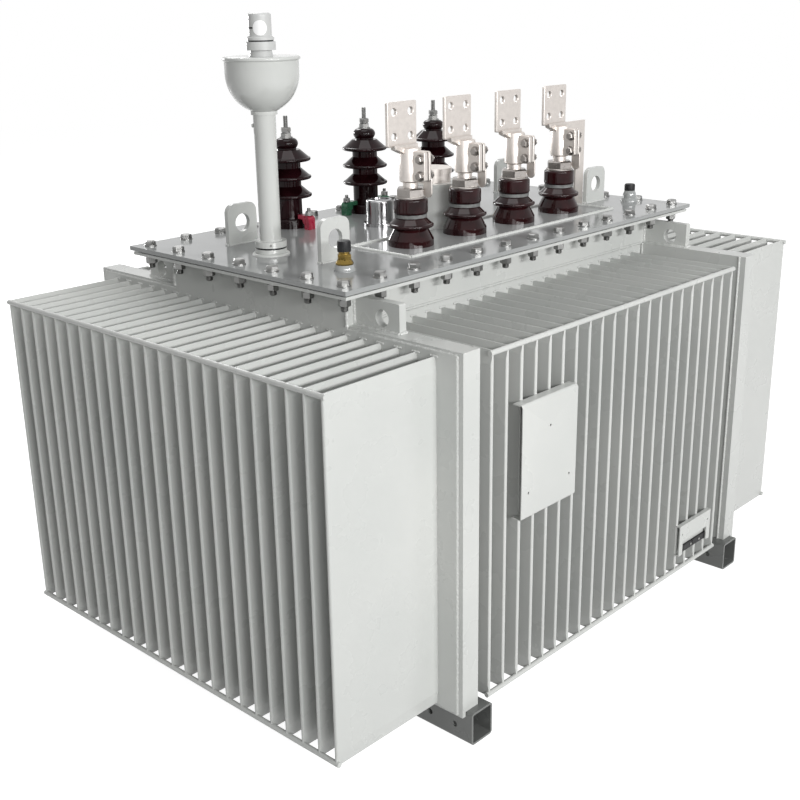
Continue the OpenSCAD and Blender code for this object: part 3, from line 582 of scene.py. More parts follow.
def prism(outline, depth, edge, holes=(), hole=0.0):
    """An outline in X and Z, drilled, made thick along Y and broken along its rims."""
    part = bmesh.new()
    edges = []
    for points in [outline] + [ring_points(x, z, hole / 2, 28) for x, z in holes]:
        verts = [part.verts.new((x, 0, z)) for x, z in points]
        edges += [part.edges.new(pair) for pair in zip(verts, verts[1:] + verts[:1])]
    bmesh.ops.triangle_fill(part, use_beauty=True, edges=edges)
    grown = bmesh.ops.extrude_face_region(part, geom=list(part.faces))["geom"]
    moved = [v for v in grown if isinstance(v, bmesh.types.BMVert)]
    bmesh.ops.translate(part, vec=(0, depth, 0), verts=moved)
    bmesh.ops.recalc_face_normals(part, faces=part.faces)
    sharp = [e for e in part.edges if e.calc_face_angle(0) > 1.0]
    break_edges(part, [e for e in sharp if abs(e.verts[0].co.y - e.verts[1].co.y) < 1e-6], edge)
    return part


def bent_disc(radius, bend, thickness, rings=8):
    """A round patch that lies on a cylinder about Z and faces +X."""
    radii = [radius * k / rings for k in range(rings + 1)]
    part = turned([(r, 0) for r in radii] + [(r, thickness) for r in reversed(radii)], 40)
    for v in part.verts:
        turn, out = v.co.x / bend, bend + v.co.z
        v.co = Vector((out * math.cos(turn), out * math.sin(turn), v.co.y))
    return part


def disc(diameter, thickness, edge=0.0004, steps=28):
    """A washer-like disc that stands on Z with its upper edge broken."""
    r = diameter / 2
    return turned([(0, 0), (r, 0), (r, thickness - edge), (r - edge, thickness), (0, thickness)], steps)


def hexagon(flats, height, chamfer):
    """A hexagonal head that stands on Z with its upper corners chamfered."""
    part = bmesh.new()
    r = flats / math.sqrt(3)
    bmesh.ops.create_cone(part, cap_ends=True, segments=6, radius1=r, radius2=r, depth=height)
    bmesh.ops.translate(part, vec=UP * height / 2, verts=part.verts)
    rim = [e for e in part.edges if all(v.co.z > height - 1e-6 for v in e.verts)]
    break_edges(part, rim, chamfer)
    return part


def threaded(diameter, height, pitch, steps=18):
    """A threaded end that stands on Z."""
    r = diameter / 2
    root = r - pitch * 0.45
    outline = [(0, 0), (root, 0)]
    for k in range(int(height / pitch)):
        outline += [(r, (k + 0.5) * pitch), (root, (k + 1) * pitch)]
    top = outline[-1][1]
    return turned(outline + [(root - pitch * 0.4, top + pitch * 0.3), (0, top + pitch * 0.3)], steps)


def bead(bm, start, end, radius, sizes):
    """A rippled weld bead between two points."""
    span = end - start
    part = bmesh.new()
    bmesh.ops.create_cone(
        part, cap_ends=True, segments=7, radius1=radius, radius2=radius, depth=span.length
    )
    along = [e for e in part.edges if abs(e.verts[0].co.z - e.verts[1].co.z) > span.length / 2]
    cuts = max(3, int(3 * span.length / sizes.ripple))
    bmesh.ops.subdivide_edges(part, edges=along, cuts=cuts)
    slow, lag = 0.37, 1.3
    for v in part.verts:
        turn = math.tau * v.co.z / sizes.ripple
        swell = 1 + sizes.swell * (math.sin(turn) + 0.5 * math.sin(turn * slow + lag))
        v.co.x *= swell
        v.co.y *= swell
    facing = span.to_track_quat("Z", "Y").to_matrix().to_4x4()
    put(bm, part, Matrix.Translation((start + end) / 2) @ facing)


def bead_ring(bm, centre, ring_r, radius):
    """A round weld bead about Z."""
    put(bm, swept(ring_points(ring_r, 0, radius, 8)), Matrix.Translation(centre))


def at(point, direction=UP, spin=0.0):
    """A placement that stands a part on a point, facing a direction."""
    facing = Vector(direction).to_track_quat("Z", "Y").to_matrix().to_4x4()
    return Matrix.Translation(point) @ facing @ Matrix.Rotation(spin, 4, "Z")


def upright(point, turn=0.0):
    """A placement that keeps a part upright and turns it about Z."""
    return Matrix.Translation(point) @ Matrix.Rotation(turn, 4, "Z")


def middle(node):
    """The middle of a CAD node's box."""
    low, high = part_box(node)
    return (low + high) / 2


# Operators

class TRANSFORMER_OT_finishes(bpy.types.Operator):
    """Give every CAD node the finish of its material slot"""

    bl_idname = "transformer.finishes"
    bl_label = "Finishes"

    def execute(self, context):
        make_finishes(context.scene)
        # The cover and the let-in plate take the deck finish, whose darker colour is painted shade.
        special = {"cover": "deck", "lv_insert_plate": "deck"}
        special.update({name: "gloss" for name in ("oil_filler_collar", "oil_filler_pipe", "oil_cup")})
        for row in frame["record"]["subparts"]:
            node = frame["nodes"][row["node"]]
            finish = FINISHES[special.get(row["node"], row["material_slot"])]
            if not node.material_slots:
                node.data.materials.append(finish)
            for slot in node.material_slots:
                slot.material = finish
        return {"FINISHED"}


class TRANSFORMER_OT_cover_bolts(bpy.types.Operator):
    """Bolt the cover to the flange all round"""

    bl_idname = "transformer.cover_bolts"
    bl_label = "Cover bolts"

    def execute(self, context):
        sizes = context.scene.transformer_bolts
        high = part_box("cover")[1]
        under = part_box("tank_flange")[0].z
        x_end, y_end = high.x - sizes.inset_x, high.y - sizes.inset_y
        places = []
        for i in range(sizes.long_row):
            x = x_end * (2 * i / (sizes.long_row - 1) - 1)
            places += [(x, -y_end), (x, y_end)]
        for i in range(1, sizes.short_row - 1):
            y = y_end * (2 * i / (sizes.short_row - 1) - 1)
            places += [(-x_end, y), (x_end, y)]
        bm = bmesh.new()
        for i, (x, y) in enumerate(places):
            spin = math.radians(37 * i % 60)
            put(bm, disc(sizes.washer, sizes.washer_t), at((x, y, high.z)))
            head = hexagon(sizes.flats, sizes.head, chamfer=0.0022)
            put(bm, head, at((x, y, high.z + sizes.washer_t), UP, spin))
            put(bm, disc(sizes.washer, sizes.washer_t), at((x, y, under), -UP))
            spring_z = under - sizes.washer_t
            spring = ring_section(sizes.flats / 2, thickness=0.004, low=0, height=sizes.spring)
            put(bm, swept(spring, math.radians(345), steps=20), at((x, y, spring_z), -UP, spin))
            nut_z = spring_z - sizes.spring
            nut = hexagon(sizes.flats, sizes.nut, chamfer=0.002)
            put(bm, nut, at((x, y, nut_z), -UP, spin + 0.4))
            tail = threaded(sizes.thread, sizes.tail, sizes.pitch)
            put(bm, tail, at((x, y, nut_z - sizes.nut), -UP))
        add_piece("cover_bolts", bm, "zinc")
        return {"FINISHED"}


class TRANSFORMER_OT_terminal_bolts(bpy.types.Operator):
    """Bolt the clamp ears of the low-voltage terminals"""

    bl_idname = "transformer.terminal_bolts"
    bl_label = "Terminal bolts"

    def execute(self, context):
        sizes = context.scene.transformer_small_bolts
        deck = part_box("cover")[1].z
        clamp = context.scene.transformer_terminals
        head_face = -clamp.slit / 2 - clamp.ear
        nut_face = clamp.slit / 2 + clamp.back_ear + clamp.tab
        bm = bmesh.new()
        for i in LV_PHASES:
            axis = middle(f"lv_bushing_{i}")
            for k, rise in enumerate((sizes.ear_low, sizes.ear_high)):
                spot = Vector((axis.x, axis.y - sizes.ear_y, deck + rise))
                for face, way in ((head_face, -1), (nut_face, 1)):
                    out = Vector((way, 0, 0))
                    seat = spot + Vector((face, 0, 0))
                    put(bm, disc(sizes.washer, sizes.washer_t), at(seat, out))
                    seat += out * sizes.washer_t
                    head = hexagon(sizes.flats, sizes.head, chamfer=0.0018)
                    put(bm, head, at(seat, out, 0.3 * i + k))
                seat = spot + Vector((nut_face + sizes.washer_t + sizes.head, 0, 0))
                tail = threaded(sizes.thread, height=0.006, pitch=0.0018)
                put(bm, tail, at(seat, Vector((1, 0, 0))))
        add_piece("terminal_bolts", bm, "zinc", "nut")
        return {"FINISHED"}


class TRANSFORMER_OT_claw_nuts(bpy.types.Operator):
    """Nut down the claws round the high-voltage bushings"""

    bl_idname = "transformer.claw_nuts"
    bl_label = "Claw nuts"

    def execute(self, context):
        sizes = context.scene.transformer_small_bolts
        inset = 0.0105
        bm = bmesh.new()
        for node in ("hv_clamps_red", "hv_clamps_green", "hv_clamps_yellow"):
            low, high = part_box(node)
            centre = (low + high) / 2
            if high.x - low.x > high.y - low.y:
                spots = [(low.x + inset, centre.y), (high.x - inset, centre.y)]
            else:
                spots = [(centre.x, low.y + inset), (centre.x, high.y - inset)]
            for x, y in spots:
                put(bm, disc(sizes.claw_washer, sizes.claw_washer_t), at((x, y, high.z)))
                nut_z = high.z + sizes.claw_washer_t
                nut = hexagon(sizes.claw_flats, sizes.claw_nut, chamfer=0.0016)
                put(bm, nut, at((x, y, nut_z), UP, x * 20))
                tail = threaded(sizes.claw_stud, height=0.008, pitch=0.0015)
                put(bm, tail, at((x, y, nut_z + sizes.claw_nut)))
        add_piece("claw_nuts", bm, "zinc")
        return {"FINISHED"}


class TRANSFORMER_OT_terminal_nuts(bpy.types.Operator):
    """Chamfer the low-voltage nuts and thread the high-voltage studs"""

    bl_idname = "transformer.terminal_nuts"
    bl_label = "Terminal nuts and studs"

    def execute(self, context):
        sizes = context.scene.transformer_nuts
        self.nuts(sizes)
        self.studs(sizes)
        return {"FINISHED"}

    def nuts(self, sizes):
        low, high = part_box("lv_nuts")
        bm = bmesh.new()
        for i in LV_PHASES:
            axis = middle(f"lv_bushing_{i}")
            spot = Vector((axis.x, axis.y, low.z))
            washer = disc(sizes.lv_washer, sizes.lv_washer_t, edge=0.0012, steps=48)
            put(bm, washer, at(spot))
            body = hexagon(sizes.lv_flats, high.z - low.z - sizes.lv_washer_t, sizes.lv_chamfer)
            put(bm, body, at(spot + UP * sizes.lv_washer_t, UP, sizes.lv_turn))
        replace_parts(add_piece("lv_nut_faces", bm, "tinned", "nut"), "lv_nuts")

    def studs(self, sizes):
        low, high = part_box("hv_studs")
        step = sizes.hv_nut + sizes.hv_gap
        bm = bmesh.new()
        for i in HV_PHASES:
            axis = middle(f"hv_bushing_{i}")
            spot = Vector((axis.x, axis.y, low.z))
            put(bm, disc(sizes.hv_washer, sizes.hv_washer_t), at(spot))
            for k in (0, 1):
                seat = spot + UP * (sizes.hv_washer_t + k * step)
                nut = hexagon(sizes.hv_flats, sizes.hv_nut, chamfer=0.002)
                put(bm, nut, at(seat, UP, 0.2 + 0.3 * k + i))
            lock = spot + UP * (sizes.hv_washer_t + sizes.hv_nut)
            put(bm, disc(sizes.hv_flats * 0.9, sizes.hv_gap), at(lock))
            base = sizes.hv_washer_t + sizes.hv_nut + step
            tail = high.z - low.z - base - sizes.hv_pitch
            put(bm, threaded(sizes.hv_stud, tail, sizes.hv_pitch), at(spot + UP * base))
        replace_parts(add_piece("hv_stud_threads", bm, "zinc"), "hv_studs")


class TRANSFORMER_OT_clamp_terminals(bpy.types.Operator):
    """Cast the clamp terminals with their barrels, ears, lock tabs and drilled palms"""

    bl_idname = "transformer.clamp_terminals"
    bl_label = "Clamp terminals"

    def execute(self, context):
        sizes = context.scene.transformer_terminals
        stem_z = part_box("lv_nuts")[1].z
        for i in LV_PHASES:
            node = f"lv_terminal_{i}"
            low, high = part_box(node)
            axis = middle(f"lv_bushing_{i}")
            place = upright((axis.x, axis.y, stem_z))
            bm = bmesh.new()
            self.barrel(bm, place, sizes)
            self.ears(bm, place, sizes)
            self.palm(bm, place, low.x - axis.x, high.z - stem_z - sizes.palm_h, sizes)
            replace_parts(add_piece(f"clamp_terminal_{i}", bm, "tinned"), node)
        return {"FINISHED"}

    def barrel(self, bm, place, sizes):
        stem_r, r = sizes.stem / 2, sizes.barrel / 2
        base = sizes.stem_h
        top = base + sizes.barrel_h
        edge = 0.003
        put(bm, turned([
            (0, 0), (stem_r, 0), (stem_r, base), (r - edge, base), (r, base + edge),
            (r, top - edge), (r - edge * 0.3, top - edge * 0.3), (r - edge, top), (0, top),
        ], 48), place)

    def ears(self, bm, place, sizes):
        """Two ears with a slit between them, and the lock tab that hangs behind."""
        foot = sizes.stem_h + sizes.ear_low
        turn = place @ Matrix.Rotation(math.pi / 2, 4, "Z")
        half = sizes.slit / 2
        back = -half - sizes.back_ear
        end = -sizes.reach
        plate = rounded(end, foot, 0, foot + sizes.ear_h, sizes.ear_r)
        put(bm, prism(plate, sizes.ear, edge=0.0012), turn @ Matrix.Translation((0, half, 0)))
        put(bm, prism(plate, sizes.back_ear, edge=0.0012), turn @ Matrix.Translation((0, back, 0)))
        low, high = foot - sizes.tab_hang, foot + 0.014
        tab = rounded(end, low, end + sizes.tab_w, high, sizes.tab_w * 0.499)
        put(bm, prism(tab, sizes.tab, edge=0.0006), turn @ Matrix.Translation((0, back - sizes.tab, 0)))

    def palm(self, bm, place, left, foot, sizes):
        """The palm stands on a web that carries it out from the barrel."""
        right = left + sizes.palm_w
        centre_x, centre_z = (left + right) / 2, foot + sizes.palm_h / 2
        step = sizes.hole_pitch / 2
        holes = [(centre_x + sx * step, centre_z + sz * step) for sx in (-1, 1) for sz in (-1, 1)]
        plate = rounded(left, foot, right, foot + sizes.palm_h, radius=0.004)
        back = Matrix.Translation((0, sizes.palm_y - sizes.palm / 2, 0))
        put(bm, prism(plate, sizes.palm, 0.001, holes, sizes.hole), place @ back)
        web_y = sizes.palm_y + sizes.palm / 2 - sizes.wing
        top = sizes.stem_h + sizes.barrel_h
        side = sizes.barrel / 2 - 0.002
        head = foot + 0.004
        tip, heel, drop = left + 0.014, left + 0.017, foot - 0.006
        web = [
            (tip, head), (heel, drop), (-side, top - sizes.wing_h),
            (0.0, top - sizes.wing_h), (side, top - 0.004), (side, head),
        ]
        put(bm, prism(web, sizes.wing, edge=0.002), place @ Matrix.Translation((0, web_y, 0)))


class TRANSFORMER_OT_filler_fittings(bpy.types.Operator):
    """Seal the filler collar and fit the level device's groove, window and bare label"""

    bl_idname = "transformer.filler_fittings"
    bl_label = "Filler fittings"

    def execute(self, context):
        sizes = context.scene.transformer_filler
        front, side = sizes.label_turn, sizes.window_turn
        low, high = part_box("oil_filler_collar")
        foot = Vector(((low.x + high.x) / 2, (low.y + high.y) / 2, low.z))
        pipe_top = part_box("oil_filler_pipe")[1].z
        lid = Vector((foot.x, foot.y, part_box("oil_level_device")[0].z))
        dark, painted, bright, label = (bmesh.new() for _ in range(4))
        seal = ring_section(sizes.seal_r, thickness=0.003, low=sizes.seal_z, height=sizes.seal_t)
        put(dark, swept(seal), at(foot))
        groove = ring_section(sizes.groove_r, thickness=0.006, low=sizes.groove_z, height=sizes.groove_t)
        put(dark, swept(groove), at(lid))
        slot_z = sizes.window_z - sizes.window_t / 2
        slot = ring_section(sizes.device_r + 0.0006, thickness=0.001, low=slot_z, height=sizes.window_t)
        put(dark, swept(slot, front - side, steps=24), upright(lid, side))
        sleeve_z = pipe_top - sizes.sleeve_h
        sleeve = ring_section(sizes.sleeve_r, thickness=0.001, low=sleeve_z, height=sizes.sleeve_h)
        put(painted, swept(sleeve), at((foot.x, foot.y, 0)))
        bead_ring(painted, (foot.x, foot.y, high.z), sizes.sleeve_r, radius=0.002)
        facing = Vector((math.cos(side), math.sin(side), 0))
        nub = Vector((foot.x, foot.y, sleeve_z + 0.017)) + facing * sizes.sleeve_r
        put(painted, hexagon(flats=0.008, height=0.004, chamfer=0.001), at(nub, facing))
        facing = Vector((math.cos(front), math.sin(front), 0))
        screw = foot + UP * sizes.screw_z + facing * ((high.x - low.x) / 2 - 0.0003)
        head = disc(sizes.screw, thickness=0.0015, edge=0.0005, steps=16)
        put(bright, head, at(screw, facing))
        patch = bent_disc(sizes.label_r, sizes.device_r + 0.0001, thickness=0.0008)
        put(label, patch, upright(lid + UP * sizes.window_z, front))
        add_piece("filler_seals", dark, "seal")
        add_piece("filler_sleeve", painted, "paint", "gloss", crease=50)
        add_piece("filler_screw", bright, "zinc")
        add_piece("device_label", label, "device", "label")
        return {"FINISHED"}


class TRANSFORMER_OT_bracket_fittings(bpy.types.Operator):
    """Round the folds of the plate bracket and hang the terminal strip in the low one"""

    bl_idname = "transformer.bracket_fittings"
    bl_label = "Bracket fittings"

    def execute(self, context):
        sizes = context.scene.transformer_brackets
        self.folds(sizes)
        self.strip(sizes)
        return {"FINISHED"}

    def folds(self, sizes):
        low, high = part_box("plate_bracket")
        bm = bmesh.new()
        bm.from_mesh(frame["nodes"]["plate_bracket"].data)
        bmesh.ops.remove_doubles(bm, verts=bm.verts, dist=1e-6)
        bmesh.ops.dissolve_limit(bm, angle_limit=0.01, verts=bm.verts, edges=bm.edges)
        near = 1e-4
        folds = [
            e for e in bm.edges
            if all(abs(v.co.y - low.y) < near for v in e.verts)
            and any(all(abs(v.co.z - z) < near for v in e.verts) for z in (low.z, high.z))
        ]
        break_edges(bm, folds, sizes.fold, segments=5)
        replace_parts(add_piece("plate_bracket_folded", bm, "paint"), "plate_bracket")

    def strip(self, sizes):
        low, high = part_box("low_bracket")
        back = high.y
        strips, plates, screws = bmesh.new(), bmesh.new(), bmesh.new()
        leg, lip = 0.016, 0.004
        front = back - sizes.back
        plate = block((low.x + leg, front, low.z), (high.x - leg, back, high.z - lip), edge=0.0004)
        put(plates, plate, Matrix())
        x0 = low.x + sizes.strip_x
        x1 = x0 + sizes.strip_w
        split = x0 + sizes.strip_w * sizes.strip_split
        z0 = low.z + sizes.strip_z
        z1 = z0 + sizes.strip_h
        face = front - 0.006
        for start, end in ((x0, split), (split + sizes.strip_gap, x1)):
            put(strips, block((start, face, z0), (end, front, z1), edge=0.0008), Matrix())
        out = Vector((0, -1, 0))
        for x in (split - 0.006, split + 0.037):
            head = disc(sizes.screw, thickness=0.0018, edge=0.0006, steps=16)
            put(screws, head, at((x, face, (z0 + z1) / 2), out))
        add_piece("low_bracket_strip", strips, "seal")
        add_piece("low_bracket_back", plates, "paint")
        add_piece("low_bracket_screws", screws, "zinc")


class TRANSFORMER_OT_welds(bpy.types.Operator):
    """Lay weld beads along the joints of the tank, the lugs and the let-in plate"""

    bl_idname = "transformer.welds"
    bl_label = "Weld beads"

    def execute(self, context):
        sizes = context.scene.transformer_welds
        self.cover_beads(sizes)
        self.tank_beads(sizes)
        return {"FINISHED"}

    def loop(self, bm, start, end, place, radius, sizes):
        """Beads round a rectangle between two corners, put in space by place."""
        (u0, v0), (u1, v1) = start, end
        corners = [Vector(place(u, v)) for u, v in ((u0, v0), (u1, v0), (u1, v1), (u0, v1))]
        for a, b in zip(corners, corners[1:] + corners[:1]):
            bead(bm, a, b, radius, sizes)

    def cover_beads(self, sizes):
        bm = bmesh.new()
        low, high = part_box("lv_insert_plate")
        z = high.z
        out = Vector((0.002, 0.002))
        self.loop(bm, low.xy - out, high.xy + out, lambda x, y: (x, y, z), sizes.fat_bead, sizes)
        thick = 0.012
        for node in ("cover_lugs_left", "cover_lugs_right"):
            low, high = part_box(node)
            for y in (low.y, high.y - thick):
                start, end = (low.x, y), (high.x, y + thick)
                self.loop(bm, start, end, lambda x, y: (x, y, z), sizes.bead, sizes)
        filler = middle("oil_filler_collar")
        low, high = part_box("oil_filler_collar")
        bead_ring(bm, (filler.x, filler.y, z), (high.x - low.x) / 2 + 0.002, sizes.fat_bead)
        add_piece("cover_welds", bm, "paint", crease=60)

    def tank_beads(self, sizes):
        bm = bmesh.new()
        r = sizes.bead
        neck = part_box("tank_body")[1]
        frame_low, frame_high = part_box("end_frame_right")
        inner, outer, top = frame_low.x, frame_high.x, frame_high.z
        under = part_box("tank_flange")[0].z
        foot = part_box("fin_wall_right")[0].z
        for sx in (-1, 1):
            for sy in (-1, 1):
                corner = Vector((sx * neck.x, sy * neck.y, top))
                bead(bm, corner, Vector((*corner.xy, under)), sizes.fat_bead, sizes)
                for y in (sy * (frame_high.y - sizes.lip), sy * (neck.y + r)):
                    bead(bm, Vector((sx * inner, y, foot)), Vector((sx * inner, y, top)), r, sizes)
            edge = frame_high.y - sizes.panel_edge
            start, end = (-edge, foot), (edge, top - sizes.panel_top)
            self.loop(bm, start, end, lambda y, z: (sx * outer, y, z), r, sizes)
            y = sx * neck.y
            bead(bm, Vector((-inner, y, top)), Vector((inner, y, top)), r, sizes)
        self.loop(bm, -neck.xy, neck.xy, lambda x, y: (x, y, under), r, sizes)
        self.lug_beads(bm, neck, top, sizes)
        self.root_beads(bm, neck, top - sizes.fin_drop, sizes)
        add_piece("tank_welds", bm, "paint", crease=60)

    def lug_beads(self, bm, neck, top, sizes):
        r = sizes.bead * 1.3
        for node in ("tank_lugs_left", "tank_lugs_right"):
            low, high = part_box(node)
            for side in (-1, 1):
                root, tip = side * neck.y, side * high.y
                for x in (low.x, high.x):
                    bead(bm, Vector((x, root, top)), Vector((x, tip, top)), r, sizes)
                    bead(bm, Vector((x, root, top)), Vector((x, root, high.z)), r, sizes)
                bead(bm, Vector((low.x, tip, top)), Vector((high.x, tip, top)), r, sizes)

    def root_beads(self, bm, neck, top, sizes):
        half = sizes.root / 2
        r = sizes.bead * 0.8
        for side in (-1, 1):
            for fins, along, wall in ((sizes.long_fins, 0, neck.y), (sizes.end_fins, 1, neck.x)):
                for k in range(fins):
                    spot = Vector((0, 0, top))
                    spot[along] = (k - (fins - 1) / 2) * sizes.fin_pitch
                    spot[1 - along] = side * wall
                    reach = Vector((0, 0, 0))
                    reach[along] = half
                    bead(bm, spot - reach, spot + reach, r, sizes)


# Radius and height of points up the sides of the bleed valves' bodies
BRASS_BODY = (
    (0, 0), (0.0195, 0), (0.0200, 0.003), (0.0185, 0.006), (0.0150, 0.011), (0.0140, 0.0125), (0, 0.0125),
)
BRASS_NECK = ((0, 0), (0.0120, 0), (0.0120, 0.003), (0.0145, 0.0045), (0.0145, 0.0060), (0, 0.0060))
PLAIN_BODY = ((0, 0), (0.0185, 0), (0.0185, 0.012), (0.0165, 0.016), (0.0150, 0.0205), (0, 0.0205))


class TRANSFORMER_OT_valves(bpy.types.Operator):
    """Build the two bleed valves with their feet, bodies and caps"""

    bl_idname = "transformer.valves"
    bl_label = "Bleed valves"

    def execute(self, context):
        sizes = context.scene.transformer_valves
        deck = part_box("cover")[1].z
        low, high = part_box("bleed_valves")
        r = sizes.foot_r
        left = Vector((low.x + r, low.y + r, deck))
        right = Vector((high.x - r, high.y - r, deck))
        feet, bodies, caps = bmesh.new(), bmesh.new(), bmesh.new()
        self.foot(feet, left, sizes.brass_foot, r)
        self.brass_body(bodies, left + UP * sizes.brass_foot, sizes)
        self.cap(caps, left + UP * sizes.brass_cap_z, sizes.brass_cap_h, sizes)
        self.foot(feet, right, sizes.plain_foot, r)
        put(feet, turned(PLAIN_BODY), at(right + UP * sizes.plain_foot))
        self.cap(caps, right + UP * sizes.plain_cap_z, sizes.plain_cap_h, sizes)
        piece = add_piece("valve_bodies", bodies, "brass")
        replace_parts(piece, "bleed_valves")
        # The valve feet take the deck finish, whose darker colour is painted shade.
        add_piece("valve_feet", feet, "paint", "deck")
        add_piece("valve_caps", caps, "seal")
        return {"FINISHED"}

    def foot(self, bm, spot, height, r):
        shoulder, top = r - 0.0025, r - 0.0035
        put(bm, turned([
            (0, 0), (r, 0), (r, 0.004), (shoulder, height * 0.75), (top, height), (0, height),
        ]), at(spot))

    def brass_body(self, bm, spot, sizes):
        put(bm, turned(BRASS_BODY), at(spot))
        grip = hexagon(sizes.brass_hex, sizes.brass_hex_h, chamfer=0.0015)
        put(bm, grip, at(spot + UP * sizes.brass_hex_z, UP, 0.35))
        put(bm, turned(BRASS_NECK), at(spot + UP * sizes.brass_neck_z))

    def cap(self, bm, spot, height, sizes):
        r = sizes.cap_r
        part = turned([
            (0, 0), (r, 0), (r, height * 0.8), (r * 0.92, height * 0.96), (r * 0.8, height), (0, height),
        ], steps=48)
        for v in part.verts:
            turn = math.atan2(v.co.y, v.co.x)
            rib = 1 - sizes.grip * (round(turn * 24 / math.pi) % 2)
            if v.co.z < height * 0.9:
                v.co.x *= rib
                v.co.y *= rib
        put(bm, part, at(spot))


class TRANSFORMER_OT_stage(bpy.types.Operator):
    """Set up the floor, the lamps, the world and the camera"""

    bl_idname = "transformer.stage"
    bl_label = "Stage"

    def execute(self, context):
        scene = context.scene
        settings = scene.transformer_stage
        scene.view_settings.view_transform = "Standard"
        self.camera(scene, settings)
        self.world(scene, settings)
        self.floor(scene, settings)
        powers = {"key": settings.key_power, "side": settings.side_power, "fill": settings.fill_power}
        box = settings.box_w, settings.box_h
        for k, (name, watts) in enumerate(powers.items()):
            turn = settings.arc_start + k * settings.arc_step
            out = Vector((-math.sin(turn), -math.cos(turn), 0))
            self.lamp(scene, name, out * settings.arc + UP * settings.lamp_z, box, watts)
        self.lamp(scene, "rear", settings.rear, box, settings.rear_power)
        self.lamp(scene, "top", settings.top, (settings.top_w, settings.top_w), settings.top_power)
        self.lamp(scene, "back", settings.back, (settings.back_w, settings.back_w), settings.back_power)
        return {"FINISHED"}

    def camera(self, scene, settings):
        data = bpy.data.cameras.new("camera")
        data.sensor_width = 36
        data.lens = settings.lens
        data.clip_end = 100
        camera = bpy.data.objects.new("camera", data)
        scene.collection.objects.link(camera)
        flat = math.cos(settings.elevation)
        x, y = math.sin(settings.azimuth) * flat, -math.cos(settings.azimuth) * flat
        back = Vector((x, y, math.sin(settings.elevation)))
        right = UP.cross(back).normalized()
        up = back.cross(right)
        turned_right = right * math.cos(settings.roll) + up * math.sin(settings.roll)
        turned_up = up * math.cos(settings.roll) - right * math.sin(settings.roll)
        basis = Matrix((turned_right, turned_up, back)).transposed().to_4x4()
        camera.matrix_world = Matrix.Translation(settings.eye) @ basis
        scene.camera = camera

    def seen(self, tree):
        """One where a ray comes from the camera, a mirror or glass, else zero."""
        path = tree.nodes.new("ShaderNodeLightPath")
        total = path.outputs["Is Camera Ray"]
        for name in ("Is Glossy Ray", "Is Transmission Ray"):
            add = tree.nodes.new("ShaderNodeMath")
            add.operation = "MAXIMUM"
            tree.links.new(total, add.inputs[0])
            tree.links.new(path.outputs[name], add.inputs[1])
            total = add.outputs["Value"]
        return total

    def world(self, scene, settings):
        world = bpy.data.worlds.new("studio")
        world.use_nodes = True
        scene.world = world
        tree = world.node_tree
        background = tree.nodes["Background"]
        background.inputs["Color"].default_value = (1, 1, 1, 1)
        strength = tree.nodes.new("ShaderNodeMapRange")
        strength.inputs["To Min"].default_value = settings.ambient
        strength.inputs["To Max"].default_value = 1.0
        tree.links.new(self.seen(tree), strength.inputs["Value"])
        tree.links.new(strength.outputs["Result"], background.inputs["Strength"])

    def floor(self, scene, settings):
        bm = bmesh.new()
        bmesh.ops.create_circle(bm, cap_ends=True, segments=96, radius=settings.floor_r)
        mesh = bpy.data.meshes.new("floor")
        bm.to_mesh(mesh)
        bm.free()
        material = bpy.data.materials.new("pale_floor")
        material.use_nodes = True
        tree = material.node_tree
        shader = tree.nodes["Principled BSDF"]
        shader.inputs["Base Color"].default_value = (*settings.floor, 1)
        shader.inputs["Roughness"].default_value = 0.9
        shader.inputs["Specular IOR Level"].default_value = 0.0
        shader.inputs["Emission Color"].default_value = (1, 1, 1, 1)
        glow = tree.nodes.new("ShaderNodeMath")
        glow.operation = "MULTIPLY"
        glow.inputs[1].default_value = settings.floor_glow
        tree.links.new(self.seen(tree), glow.inputs[0])
        tree.links.new(glow.outputs["Value"], shader.inputs["Emission Strength"])
        mesh.materials.append(material)
        floor = bpy.data.objects.new("floor", mesh)
        scene.collection.objects.link(floor)

    def lamp(self, scene, name, place, size, watts):
        """A soft box that looks at the lamps' target."""
        data = bpy.data.lights.new(name, "AREA")
        data.shape = "RECTANGLE"
        data.size, data.size_y = size
        data.energy = watts
        lamp = bpy.data.objects.new(name, data)
        lamp.location = place
        look = Vector(scene.transformer_stage.target) - Vector(place)
        lamp.rotation_euler = look.to_track_quat("-Z", "Y").to_euler()
        scene.collection.objects.link(lamp)


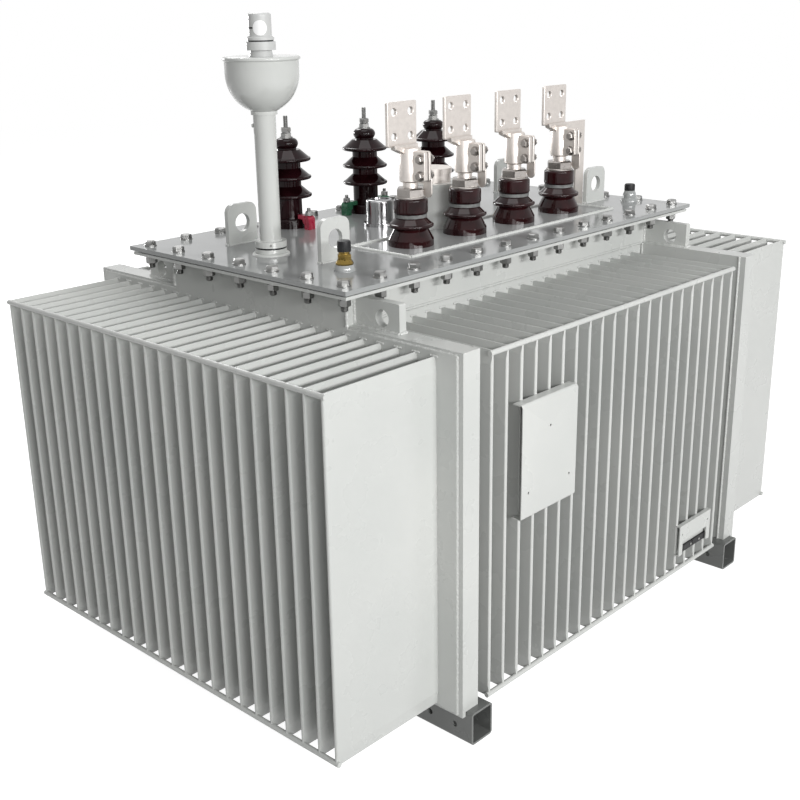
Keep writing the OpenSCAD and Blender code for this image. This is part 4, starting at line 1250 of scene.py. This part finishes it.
class TRANSFORMER_PT_dressing(bpy.types.Panel):
    """Lists the steps that dress the transformer"""

    bl_idname = "TRANSFORMER_PT_dressing"
    bl_label = "Power transformer"
    bl_space_type = "VIEW_3D"
    bl_region_type = "UI"
    bl_category = "Transformer"

    def draw(self, context):
        for operator in OPERATORS:
            self.layout.operator(operator.bl_idname)
        for name in GROUPS:
            box = self.layout.box()
            settings = getattr(context.scene, name)
            for key in settings.__annotations__:
                box.prop(settings, key)


GROUPS = {
    "transformer_enamel": EnamelFinish,
    "transformer_metal": MetalFinish,
    "transformer_insulator": InsulatorFinish,
    "transformer_bolts": CoverBoltSizes,
    "transformer_small_bolts": SmallBoltSizes,
    "transformer_nuts": TerminalNutSizes,
    "transformer_terminals": TerminalSizes,
    "transformer_filler": FillerSizes,
    "transformer_brackets": BracketSizes,
    "transformer_welds": WeldSizes,
    "transformer_valves": ValveSizes,
    "transformer_stage": StageSettings,
}
OPERATORS = (
    TRANSFORMER_OT_stage,
    TRANSFORMER_OT_finishes,
    TRANSFORMER_OT_cover_bolts,
    TRANSFORMER_OT_terminal_bolts,
    TRANSFORMER_OT_claw_nuts,
    TRANSFORMER_OT_terminal_nuts,
    TRANSFORMER_OT_clamp_terminals,
    TRANSFORMER_OT_filler_fittings,
    TRANSFORMER_OT_bracket_fittings,
    TRANSFORMER_OT_welds,
    TRANSFORMER_OT_valves,
)


def register():
    for cls in (*GROUPS.values(), *OPERATORS, TRANSFORMER_PT_dressing):
        bpy.utils.register_class(cls)
    for name, group in GROUPS.items():
        setattr(bpy.types.Scene, name, bpy.props.PointerProperty(type=group))


def unregister():
    for name in GROUPS:
        delattr(bpy.types.Scene, name)
    for cls in reversed((*GROUPS.values(), *OPERATORS, TRANSFORMER_PT_dressing)):
        bpy.utils.unregister_class(cls)


def main():
    register()
    bpy.ops.transformer.stage()
    bpy.ops.transformer.finishes()
    bpy.ops.transformer.cover_bolts()
    bpy.ops.transformer.terminal_bolts()
    bpy.ops.transformer.claw_nuts()
    bpy.ops.transformer.terminal_nuts()
    bpy.ops.transformer.clamp_terminals()
    bpy.ops.transformer.filler_fittings()
    bpy.ops.transformer.bracket_fittings()
    bpy.ops.transformer.welds()
    bpy.ops.transformer.valves()


if __name__ == "__main__":
    main()
